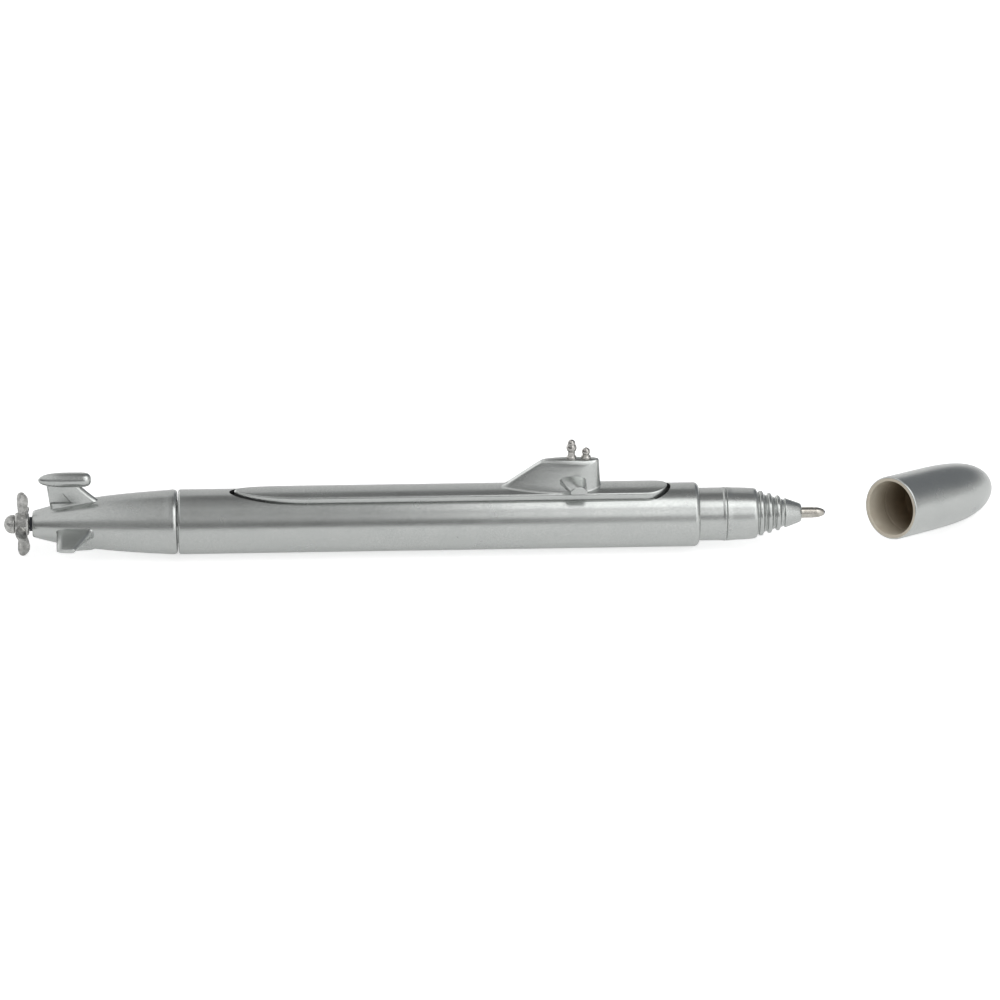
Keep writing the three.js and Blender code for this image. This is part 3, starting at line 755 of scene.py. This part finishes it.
def sail_tower():
    """The tower, from a small flare on the deck, which is twice as wide astern, to a crowned roof with
    a rounded edge. A station is [share of the height, inset, lift]."""
    foot = [(0.0, -SAIL_FLARE, -0.15), (0.0, -SAIL_FLARE, 0.0)]
    foot += [(0.012, -SAIL_FLARE * 0.45, 0.0), (0.03, -SAIL_FLARE * 0.15, 0.0), (0.06, 0, 0.0)]
    side = [(t, 0, 0.0) for t in (0.2, 0.4, 0.6, 0.8)]
    bend = SAIL_CHAMFER / (SAIL_TOP - DECK_OUTER)
    crown = []
    for turn in quarter_turn(6):
        crown.append((1 - bend * (1 - math.sin(turn)), SAIL_CHAMFER * (1 - math.cos(turn)), 0.0))
    rings = []
    for t, inset, lift in foot + side + crown:
        crowned = max(0, t - SAIL_CROWN_START) / (1 - SAIL_CROWN_START)
        flare = max(0, -inset)
        ring = []
        for x, y in sail_outline(t, inset):
            y += math.copysign(flare * clamped((SAIL_FLARE_START - x) / SAIL_FLARE_LENGTH), y)
            height = between(deck_height(y) + lift, SAIL_TOP, t)
            ring.append(Vector((x, y, height + roof_rise(x, y) * crowned)))
        rings.append(ring)
    for share in (0.75, 0.5, 0.25, 0.06):
        inset = SAIL_CHAMFER * (2 - share)
        tops = [(x, y * share) for x, y in sail_outline(1, inset)]
        rings.append([Vector((x, y, SAIL_TOP + roof_rise(x, y))) for x, y in tops])
    return loft(rings)


def sail_plane(side):
    """One plane: flat below, arched above, with a concave root that flares into the tower. A station
    is [share of the span, share of the thickness]."""
    rings = []
    for t, swell in PLANE_STATIONS:
        inset = PLANE_TIP_INSET if t == 1 else 0
        start = between(PLANE_ROOT_START, PLANE_TIP_START, t) + inset
        end = PLANE_END - inset
        bottom = between(PLANE_ROOT_HEIGHT, PLANE_TIP_HEIGHT, t) - (swell - 1) * 0.3
        y = side * between(SAIL_TOP_HALF_WIDTH * 0.6, PLANE_SPAN, t)
        arch = between(0.45, 0.95, max(0, t - PLANE_ARCH_START) / (1 - PLANE_ARCH_START))
        ring = []
        for i in range(25):
            turn = math.pi * i / 24
            x = between(start, end, (1 - math.cos(turn)) / 2)
            rise = PLANE_THICKNESS * swell * 0.96 * max(0, math.sin(turn)) ** arch
            ring.append(Vector((x, y, bottom + 0.1 + rise)))
        ring += [Vector((end - 0.05, y, bottom + 0.03)), Vector((end - 0.15, y, bottom))]
        ring += [Vector((start + 0.15, y, bottom)), Vector((start + 0.05, y, bottom + 0.03))]
        rings.append(ring)
    return loft(rings)


def sail():
    bm = merge(sail_tower(), sail_plane(1), sail_plane(-1))
    return finish_piece(bm, "sail", "hull", [SILVER], crease=40)


def ball_arc(centre, radius, stem_radius, steps=14):
    start = math.asin(min(1, stem_radius / radius))
    turns = [between(start, math.pi - start, i / steps) for i in range(steps + 1)]
    return [(centre - radius * math.cos(t), radius * math.sin(t)) for t in turns]


def mast_foot(stem):
    foot = [(-1.5, 0), (-1.5, 0.4), (0.1, 0.4), (0.2, MAST_COLLAR * 0.85), (0.4, MAST_COLLAR, 0.12)]
    return foot + [(0.65, MAST_COLLAR, 0.12), (0.9, stem, 0.1)]


def place_mast(bm, node, x):
    seat = TO_ROW @ Matrix.Translation((x, 0, SAIL_TOP))
    return finish_piece(bm, node, "hull", [PLATED], to_row=seat)


def tall_mast():
    crown = TALL_MAST_HEIGHT - TALL_MAST_CROWN
    dome = []
    for turn in quarter_turn(8):
        dome.append((crown + TALL_MAST_CROWN * math.sin(turn), TALL_MAST_CROWN * math.cos(turn)))
    ball = ball_arc(TALL_MAST_BALL_HEIGHT, MAST_BALL, MAST_STEM)
    waist = (crown - 0.16, MAST_STEM * 0.96, 0.05)
    bm = turned([*mast_foot(MAST_STEM), *ball, waist, *dome], steps=PIN_STEPS, upright=True)
    return place_mast(bm, "periscope_mast", TALL_MAST_X)


def short_mast():
    knob = ball_arc(SHORT_MAST_HEIGHT - MAST_KNOB, MAST_KNOB, SHORT_MAST_STEM)
    knob = [p for p in knob if p[0] < SHORT_MAST_HEIGHT - 0.25]
    top = [(SHORT_MAST_HEIGHT, 0.25, 0.1), (SHORT_MAST_HEIGHT, 0)]
    bm = turned([*mast_foot(SHORT_MAST_STEM), *knob, *top], steps=PIN_STEPS, upright=True)
    return place_mast(bm, "snorkel_mast", SHORT_MAST_X)


# Tail

TAIL_CURVE = [
    Vector((-TAIL_LENGTH, TAIL_END_RADIUS)),
    Vector((-TAIL_LENGTH * 0.805, TAIL_END_RADIUS + 1.69)),
    Vector((-TAIL_LENGTH * 0.558, HULL_RADIUS - 0.76)),
    Vector((-SEAM_GAP, HULL_RADIUS)),
]


def tail_point(t):
    a, b, c, d = TAIL_CURVE
    return a * (1 - t) ** 3 + b * 3 * t * (1 - t) ** 2 + c * 3 * t ** 2 * (1 - t) + d * t ** 3


def tail_radius(x):
    low, high = 0.0, 1.0
    for _ in range(24):
        middle = (low + high) / 2
        if tail_point(middle).x < x:
            low = middle
        else:
            high = middle
    return tail_point(low).y


def slab_outline(trailing, leading, half, rear, front):
    """[x, offset] points round a slab with half ellipses behind and in front."""
    turns = quarter_turn(10)
    side = [(trailing + rear * (1 - math.cos(t)), half * math.sin(t)) for t in turns]
    side += [(leading - front * (1 - math.sin(t)), half * math.cos(t)) for t in turns]
    return side + [(x, -w) for x, w in reversed(side[1:-1])]


def tail_fin(tip, chords, halves, lean, rake, rear):
    """A fin that stands up along +Z from the surface of the tail cone, with a flared root. It has a
    chord and half a thickness at root and tip, and its rear part is rounded over a share of the
    chord."""
    back = -TAIL_LENGTH + FIN_TRAILING
    root = TAIL_END_RADIUS + 0.6
    rings = []

    def ring(share, swell, inset):
        half = between(halves[0], halves[1], share)
        chord = between(chords[0], chords[1], share)
        leading = back + chord - inset + swell * 0.6
        trailing = back - lean * share + inset - swell * 0.5
        points = []
        thick = half + swell - inset * 0.6
        for x, y in slab_outline(trailing, leading, thick, rear * chord, half * 1.2):
            ground = math.sqrt(max(0.1, tail_radius(x) ** 2 - y ** 2)) - 0.1
            height = between(ground, tip - rake * (x - back), share)
            base = between(ground, root, min(1, share * 1.6)) if ground > root else ground
            points.append(Vector((x, y, max(base - 0.1, height))))
        return points

    stations = [(0.0, FIN_FLARE), (0.03, FIN_FLARE * 0.55), (0.08, FIN_FLARE * 0.2), (0.15, 0.0)]
    for share, swell in stations + [(t, 0.0) for t in (0.35, 0.6, 0.8)]:
        rings.append(ring(share, swell, 0))
    bend = FIN_TIP_ROUND / (tip - root)
    for turn in quarter_turn(5):
        inset = FIN_TIP_ROUND * (1 - math.cos(turn))
        rings.append(ring(1 - bend * (1 - math.sin(turn)), 0, inset))
    return loft(rings)


def tail_cone():
    rim = []
    for turn in quarter_turn(10):
        x = -SEAM_GAP - SEAM_ROUND_LENGTH * (1 - math.sin(turn))
        rim.append((x, HULL_RADIUS - SEAM_ROUND_DEPTH * (1 - math.cos(turn))))
    body = turned([
        (-TAIL_LENGTH, PIN_SOCKET_RADIUS),
        (-TAIL_LENGTH, TAIL_END_RADIUS - 0.1, 0.2),
        *[tail_point(between(0.012, 0.96, i / 40)) for i in range(41)],
        *rim,
        (-SEAM_GAP, SPIGOT_RADIUS),
        (SPIGOT_LENGTH, SPIGOT_RADIUS, 0.3),
        (SPIGOT_LENGTH, SPIGOT_BORE),
        (SPIGOT_BORE_END, SPIGOT_BORE),
        (CORE_START, CORE_RADIUS),
        (PIN_SOCKET_END, CORE_RADIUS),
        (PIN_SOCKET_END, PIN_SOCKET_RADIUS),
    ], closed=True)
    plane = tail_fin(
        STERN_PLANE_SPAN, (STERN_PLANE_ROOT_CHORD, STERN_PLANE_TIP_CHORD),
        (FIN_HALF_THICKNESS, FIN_TIP_HALF_THICKNESS), lean=-0.3, rake=0, rear=0.6,
    )
    keel = tail_fin(
        LOWER_RUDDER_DEPTH, (LOWER_RUDDER_CHORD, LOWER_RUDDER_CHORD),
        (FIN_HALF_THICKNESS, FIN_HALF_THICKNESS), lean=0, rake=0.05, rear=0.25,
    )
    far_plane = plane.copy()
    for bm, turn in ((plane, 90), (far_plane, -90), (keel, 180)):
        matrix = Matrix.Rotation(math.radians(turn), 3, "X")
        bmesh.ops.rotate(bm, verts=bm.verts, cent=(0, 0, 0), matrix=matrix)
    bm = merge(body, plane, far_plane, keel)
    return finish_piece(bm, "tail_cone", "hull", [SILVER], crease=25)


# The sunk flap on each side of the upper rudder, as [x, height] on its floor
FLAP = [(-27, 7.15), (-23.05, 7.12), (-21.4, 4.9), (-27, 4.78)]
FLAP_HALF_THICKNESS = 0.45
FLAP_WALL = 0.8


def flap_cutter():
    sides = []
    for side in (1, -1):
        floor_ring = [Vector((x, side * FLAP_HALF_THICKNESS, z)) for x, z in FLAP]
        open_ring = []
        for i, (x, z) in enumerate(FLAP):
            shift = FLAP_WALL if i in (1, 2) else 0
            open_ring.append(Vector((x + shift, side * (FLAP_HALF_THICKNESS + FLAP_WALL), z)))
        sides.append(loft([floor_ring, open_ring]))
    return cutter_piece(merge(*sides), SILVER)


def upper_rudder():
    """The swept fin under the pod, with a small flare at its root and a sunk flap on each side. A
    station is [share of the height, swell]."""
    top = POD_HEIGHT - POD_RADIUS * 0.6
    back = -TAIL_LENGTH + RUDDER_TRAILING
    rings = []
    for share, swell in RUDDER_STATIONS:
        half = RUDDER_HALF_THICKNESS + swell
        leading = back + between(RUDDER_ROOT_CHORD, RUDDER_TIP_CHORD, share) + swell
        trailing = back - RUDDER_LEAN * share
        ring = []
        for x, y in slab_outline(trailing, leading, half, 0.9 + swell, 1.1 + swell):
            ground = math.sqrt(max(0.1, tail_radius(x) ** 2 - y ** 2)) - 0.05
            ring.append(Vector((x, y, between(ground, top, share))))
        rings.append(ring)
    piece = finish_piece(loft(rings), "upper_rudder", "hull", [SILVER], crease=25)
    apply_cut(piece, flap_cutter())
    return piece


def rudder_pod():
    start = -TAIL_LENGTH + POD_START
    profile = [(start + POD_LENGTH * t, POD_RADIUS * r) for t, r in POD_SHAPE]
    bm = turned(profile, steps=SMALL_STEPS)
    bmesh.ops.translate(bm, verts=bm.verts, vec=(0, 0, POD_HEIGHT))
    return finish_piece(bm, "rudder_pod", "hull", [SILVER], crease=80)


# Propeller, its pin and washer

def propeller_blade(index):
    """A spade-shaped blade along +Z, a little bent, as a soft casting is. A station is [share of the
    radius, share of the chord, share of the thickness]."""
    middle = (HUB_REAR + HUB_FRONT) / 2
    bend = BLADE_BENDS[index]
    rings = []
    for share, chord, thin in BLADE_STATIONS:
        tilt = math.radians(BLADE_PITCH + BLADE_TWIST * (0.6 - share))
        ring = []
        for i in range(24):
            turn = math.tau * i / 24
            along = BLADE_CHORD * chord / 2 * math.cos(turn)
            across = BLADE_THICKNESS * thin / 2 * math.sin(turn) + BLADE_CUP * along * along * share
            x = middle + along * math.cos(tilt) - across * math.sin(tilt) + bend * share ** 2
            y = along * math.sin(tilt) + across * math.cos(tilt)
            ring.append(Vector((x, y, BLADE_TIP * share)))
        rings.append(ring)
    bm = loft(rings)
    matrix = Matrix.Rotation(math.tau * index / BLADE_COUNT, 3, "X")
    bmesh.ops.rotate(bm, verts=bm.verts, cent=(0, 0, 0), matrix=matrix)
    return bm


def propeller():
    hub = turned([
        (HUB_REAR, HUB_RADIUS, 0.5),
        (HUB_FRONT, HUB_RADIUS, 0.5),
        (HUB_FRONT, HUB_BORE),
        (HUB_REAR, HUB_BORE),
    ], closed=True, steps=SMALL_STEPS)
    bm = merge(hub, *[propeller_blade(i) for i in range(BLADE_COUNT)])
    return finish_piece(bm, "propeller", "propeller", [POOLED], crease=60)


def propeller_pin():
    front = HUB_REAR - PIN_HEAD_GAP
    rim = front - PIN_HEAD_LENGTH * PIN_HEAD_RIM
    depth = PIN_HEAD_LENGTH * (1 - PIN_HEAD_RIM)
    bm = turned([
        *[(rim - depth * math.cos(turn), PIN_HEAD_RADIUS * math.sin(turn)) for turn in quarter_turn(14)],
        (front, PIN_HEAD_RADIUS, 0.15),
        (front, PIN_RADIUS),
        (PIN_END, PIN_RADIUS, 0.2),
        (PIN_END, 0),
    ], steps=SMALL_STEPS)
    return finish_piece(bm, "propeller_pin", "hull", [POOLED])


def propeller_washer():
    bm = turned([
        (WASHER_REAR, WASHER_RADIUS, 0.08),
        (WASHER_FRONT, WASHER_RADIUS, 0.08),
        (WASHER_FRONT, HUB_BORE),
        (WASHER_REAR, HUB_BORE),
    ], closed=True, steps=PIN_STEPS)
    return finish_piece(bm, "propeller_washer", "hull", [ACETAL])


# Nose and refill

SHOULDER_END = BARREL_LENGTH + GRIP_LENGTH
CONE_START = SHOULDER_END + RIB_COUNT * RIB_PITCH + 0.4
NOSE_END = CONE_START + CONE_LENGTH
TIP_END = NOSE_END + TIP_REACH


def ribs():
    points = []
    for i in range(RIB_COUNT):
        crest = FIRST_RIB_RADIUS - i * RIB_STEP
        start = SHOULDER_END + i * RIB_PITCH
        ahead = GROOVE_AHEAD if i else FIRST_GROOVE_AHEAD
        points.append((start + RIB_PITCH * 0.14, crest - ahead, 0.12))
        points.append((start + RIB_PITCH * 0.28, crest, 0.22))
        points.append((start + RIB_PITCH * 0.62, crest, 0.22))
        points.append((start + RIB_PITCH * 0.82, crest - RIB_GROOVE, 0.12))
    return points


def grip_section():
    start = BARREL_LENGTH - GRIP_SEAT_DEPTH + 0.1
    bead = BARREL_LENGTH + BEAD_FROM_BARREL
    bm = turned([
        (SPIGOT_START, SPIGOT_OUTER_RADIUS, 0.2),
        (start, SPIGOT_OUTER_RADIUS),
        (start, GRIP_RADIUS, 0.05),
        (bead - 0.75, GRIP_RADIUS, 0.1),
        (bead - 0.45, BEAD_RADIUS, 0.1),
        (bead - 0.12, BEAD_RADIUS, 0.04),
        (bead, GRIP_RADIUS - 0.1, 0.04),
        (bead + 0.12, BEAD_RADIUS, 0.08),
        (bead + 1.2, GRIP_RADIUS - 0.02, 0.4),
        (SHOULDER_END - 2.6, GRIP_FRONT_RADIUS + 0.05),
        (SHOULDER_END - 0.15, GRIP_FRONT_RADIUS - 0.1, 0.85),
        (SHOULDER_END + 0.06, GRIP_FRONT_RADIUS - 0.92, 0.1),
        *ribs(),
        (CONE_START - 0.12, CONE_REAR_RADIUS - 0.35, 0.08),
        (CONE_START + 0.1, CONE_REAR_RADIUS, 0.14),
        (NOSE_END, CONE_FRONT_RADIUS, 0.7),
        (NOSE_END, TIP_BORE, 0.03),
        (CONE_START - 1.4, TIP_BORE),
        (CONE_START - 1.6, REFILL_BORE),
        (REFILL_BORE_START, REFILL_BORE),
        (REFILL_BORE_START, SPIGOT_INNER_RADIUS),
        (SPIGOT_START, SPIGOT_INNER_RADIUS),
    ], closed=True, curve_steps=8)
    return finish_piece(bm, "grip_section", "nose", [SILVER], crease=50)


def refill_tip():
    ball = TIP_END - BALL_RADIUS
    cone = NOSE_END + TIP_STRAIGHT
    lip = ball + 0.12
    bm = turned([
        (CONE_START - TIP_SHANK_START, 0),
        (CONE_START - TIP_SHANK_START, TIP_SHANK_RADIUS),
        (CONE_START - TIP_SHOULDER, TIP_SHANK_RADIUS),
        (CONE_START - TIP_SHOULDER, TIP_RADIUS, 0.1),
        (cone - 0.5, TIP_RADIUS, 0.1),
        (cone - 0.42, TIP_RADIUS - 0.05, 0.05),
        (between(cone, lip, 0.15), TIP_RADIUS - 0.04, 0.25),
        (between(cone, lip, 0.62), TIP_RADIUS * 0.8, 0.3),
        (lip, TIP_LIP_RADIUS, 0.04),
        (lip, TIP_LIP_RADIUS - 0.07),
        (ball - 0.4, 0.36),
        (ball - 0.52, 0),
    ], steps=SMALL_STEPS, curve_steps=8)
    return finish_piece(bm, "refill_tip", "refill", [NICKEL])


def writing_ball():
    bm = bmesh.new()
    bmesh.ops.create_icosphere(bm, subdivisions=4, radius=BALL_RADIUS)
    bmesh.ops.translate(bm, verts=bm.verts, vec=(TIP_END - 0.5, 0, 0))
    return finish_piece(bm, "writing_ball", "ball", [BALL])


# Cap, made along +X from its mouth

def cap_radius(x):
    t = max(0, (x - CAP_STRAIGHT) / (CAP_LENGTH - CAP_STRAIGHT))
    return CAP_RADIUS * math.sqrt(max(0, 1 - t ** CAP_POWER))


def cap():
    bore = CAP_RADIUS - CAP_SKIN
    outside = []
    for turn in quarter_turn(48)[:-1]:
        x = CAP_STRAIGHT + (CAP_LENGTH - CAP_STRAIGHT) * math.sin(turn)
        outside.append((x, cap_radius(x)))
    outside.append((CAP_LENGTH, 0))
    inside = [
        (CAP_INNER_DEPTH, 0),
        (CAP_INNER_DEPTH, 1.7, 0.3),
        (CAP_INNER_DEPTH - 4, 3.3, 0.5),
        (CAP_SEAT_DEPTH + 1, bore - 0.5, 0.2),
        (CAP_SEAT_DEPTH, bore - 0.02, 0.15),
        (CAP_RING_AT + 0.35, bore, 0.1),
        (CAP_RING_AT, bore + 0.1, 0.1),
        (CAP_RING_AT - 0.35, bore, 0.1),
        (0.15, bore, 0.15),
        (0, bore + 0.15, 0.08),
    ]
    rim = [(0, CAP_RADIUS - 0.22, 0.1), (0.22, CAP_RADIUS, 0.15)]
    bm = turned([*rim, *outside, *inside], closed=True)
    for face in bm.faces:
        middle = face.calc_center_median()
        radius = math.hypot(middle.y, middle.z)
        inner = radius < cap_radius(middle.x) - 0.35 and middle.x < CAP_INNER_DEPTH + 0.5
        face.material_index = 1 if inner or middle.x < 0.1 and radius < CAP_RADIUS - 0.3 else 0
    to_row = TO_ROW @ Matrix.Translation(CAP_LIFT) @ CAP_TURN
    return finish_piece(bm, "cap", "cap", [SILVER, CREAM], to_row=to_row)


# Hidden pieces keep their CAD meshes

def finish_node(node, material):
    mesh = frame["nodes"][node].data
    mesh.materials.clear()
    mesh.materials.append(material)


# Stage, lights and camera

# White background paper: matt, and shown a little brighter to the camera and in mirrors than it lights
def white_background_paper():
    material, tree, shader, place = new_material(
        "white_background_paper", Base_Color=linear("f4f4f4"), Roughness=0.9, Emission_Color=(1, 1, 1, 1)
    )
    mottle(tree, shader, place, 1.2, tone=linear("f7f7f7"))
    path = add_node(tree, "ShaderNodeLightPath").outputs
    seen = path["Is Camera Ray"]
    for ray in ("Is Glossy Ray", "Is Transmission Ray"):
        either = add_node(tree, "ShaderNodeMath", {0: seen, 1: path[ray]}, operation="MAXIMUM")
        seen = either.outputs[0]
    glow = add_node(tree, "ShaderNodeMath", {0: seen, 1: PAPER_GLOW}, operation="MULTIPLY")
    glow = add_node(tree, "ShaderNodeMath", {
        0: path["Is Camera Ray"], 1: PAPER_GLOW_TO_CAMERA, 2: glow.outputs[0],
    }, operation="MULTIPLY_ADD")
    tree.links.new(glow.outputs[0], shader.inputs["Emission Strength"])
    return material


def floor():
    bm = bmesh.new()
    bmesh.ops.create_grid(bm, x_segments=1, y_segments=1, size=3)
    bmesh.ops.translate(bm, verts=bm.verts, vec=(0, 0, CAD_BOX[0].z - FLOOR_GAP * MM))
    piece = add_object("floor", mesh_of(bm, "floor"))
    piece.data.materials.append(white_background_paper())


# What the paint mirrors. A wall is [height of the direction, brightness]. A part of the studio is
# [axis, start, end] of each fade of the direction from outside to inside.
BACK_WALL = [(0, 0.72), (0.4, 0.72), (0.7, 0.66), (0.8, 0.18), (0.93, 0.12), (1, 0.26)]
CAMERA_SIDE = [
    (0, 0.45), (0.08, 0.2), (0.16, 0.14), (0.27, 0.13), (0.42, 0.4),
    (0.6, 0.52), (0.72, 0.36), (0.86, 0.36), (0.94, 0.4), (1, 0.26),
]
LEFT_DRAPE = [(0, 1.5), (0.28, 1.5), (0.45, 0.9), (1, 0.9)]
BACK = [("Y", -0.12, 0.1)]
BACK_LEFT = [("X", -0.22, -0.36), ("Y", 0.2, 0.5)]
HIGH_LEFT = [("X", -0.08, -0.24), ("Z", 0.5, 0.7)]
NEAR_LEFT = [("X", -0.1, -0.22), ("X", -0.5, -0.36), ("Y", -0.1, -0.3), ("Z", 0.45, 0.25)]
RIGHT = [("X", 0.25, 0.5)]
FRONT_RIGHT = [("X", 0.25, 0.5), ("Y", -0.25, -0.5)]
FAR_RIGHT_CARD = [("X", 0.13, 0.3), ("Z", 0.06, 0.22), ("Y", 0.05, 0.4)]

# Soft boxes on the camera side, each [name, centre, height, power] in metres and watts. They look at
# the height of the pen's axis.
SOFT_BOX_WIDTH = 0.3
SOFT_BOX_AIM_HEIGHT = 0.006
SOFT_BOXES = [
    ("upper_soft_box", (0.18, -0.132, 0.341), 0.2, 0.31),
    ("lower_soft_box", (0.18, -0.289, 0.22), 0.186, 0.15),
    ("low_soft_box", (0.2, -0.35, 0.07), 0.13, 0.045),
]


def world():
    """A studio with a pale back wall under a dim ceiling and a dark camera side. White drapes hang on
    the left, high up there and on the front right, grey ones near on the left and on the right, and
    black card far back on the right."""
    scene_world = bpy.data.worlds.new("studio")
    bpy.context.scene.world = scene_world
    scene_world.use_nodes = True
    tree = scene_world.node_tree
    direction = add_node(tree, "ShaderNodeTexCoord").outputs["Generated"]
    axes = add_node(tree, "ShaderNodeSeparateXYZ", {"Vector": direction}).outputs
    walls = []
    for stops in (CAMERA_SIDE, BACK_WALL, LEFT_DRAPE):
        wall = add_node(tree, "ShaderNodeValToRGB", {"Fac": axes["Z"]})
        elements = wall.color_ramp.elements
        for element, (height, grey) in zip(elements, (stops[0], stops[-1])):
            element.position = height
            element.color = (grey, grey, grey, 1)
        for height, grey in stops[1:-1]:
            elements.new(height).color = (grey, grey, grey, 1)
        walls.append(wall.outputs["Color"])
    light, back_wall, left_drape = walls

    def inside(part):
        """How far the direction is inside a part of the studio, from 0 to 1."""
        share = 1
        for axis, start, end in part:
            fade = add_node(tree, "ShaderNodeMapRange", {
                "Value": axes[axis], "From Min": start, "From Max": end,
            }, interpolation_type="SMOOTHSTEP")
            both = add_node(tree, "ShaderNodeMath", {
                0: share, 1: fade.outputs["Result"],
            }, operation="MULTIPLY")
            share = both.outputs[0]
        return share

    left = add_node(tree, "ShaderNodeMath", {
        0: inside(BACK_LEFT), 1: inside(HIGH_LEFT),
    }, operation="MAXIMUM")
    for share, colour in (
        (inside(BACK), back_wall),
        (left.outputs[0], left_drape),
        (inside(NEAR_LEFT), (0.4, 0.4, 0.4, 1)),
        (inside(RIGHT), (0.6, 0.6, 0.6, 1)),
        (inside(FRONT_RIGHT), (1.15, 1.15, 1.15, 1)),
        (inside(FAR_RIGHT_CARD), (0.18, 0.19, 0.205, 1)),
    ):
        light = add_node(tree, "ShaderNodeMix", {
            MIX_SHARE: share, MIX_FIRST: light, MIX_SECOND: colour,
        }, data_type="RGBA").outputs[MIXED]
    tree.links.new(light, tree.nodes["Background"].inputs["Color"])


def soft_boxes():
    for name, centre, height, power in SOFT_BOXES:
        data = bpy.data.lights.new(name, "AREA")
        data.shape = "RECTANGLE"
        data.size, data.size_y = SOFT_BOX_WIDTH, height
        data.energy = power
        lamp = add_object(name, data)
        lamp.location = centre
        ahead = Vector((centre[0], 0, SOFT_BOX_AIM_HEIGHT)) - Vector(centre)
        lamp.rotation_euler = ahead.to_track_quat("-Z", "Y").to_euler()


def camera():
    tilt, turn, roll = (math.radians(v) for v in (ELEVATION, TURN, ROLL))
    ahead = Vector((math.sin(turn), math.cos(turn), 0))
    right = Vector((math.cos(turn), -math.sin(turn), 0))
    look = ahead * math.cos(tilt) - Vector((0, 0, math.sin(tilt)))
    up = ahead * math.sin(tilt) + Vector((0, 0, math.cos(tilt)))
    across = right * math.cos(roll) + up * math.sin(roll)
    upward = up * math.cos(roll) - right * math.sin(roll)
    aim = TO_ROW @ Vector((AIM_X, 0, 0)) + upward * AIM_ABOVE_AXIS * MM
    data = bpy.data.cameras.new("camera")
    data.sensor_width = SENSOR
    data.lens = FOCAL_LENGTH
    data.clip_start, data.clip_end = 0.01, 20
    eye = add_object("camera", data)
    turned_frame = Matrix((across, upward, -look)).transposed().to_4x4()
    eye.matrix_world = Matrix.Translation(aim - look * DISTANCE * MM) @ turned_frame
    bpy.context.scene.camera = eye


camera()
world()
soft_boxes()
bpy.context.scene.view_settings.view_transform = "Standard"

floor()
barrel()
deck_plate()
sail()
tall_mast()
short_mast()
tail_cone()
upper_rudder()
rudder_pod()
propeller()
propeller_pin()
propeller_washer()
grip_section()
refill_tip()
writing_ball()
cap()
finish_node("refill_tube", TUBE)
finish_node("refill_bush", TUBE)
finish_node("ink_column", PASTE)
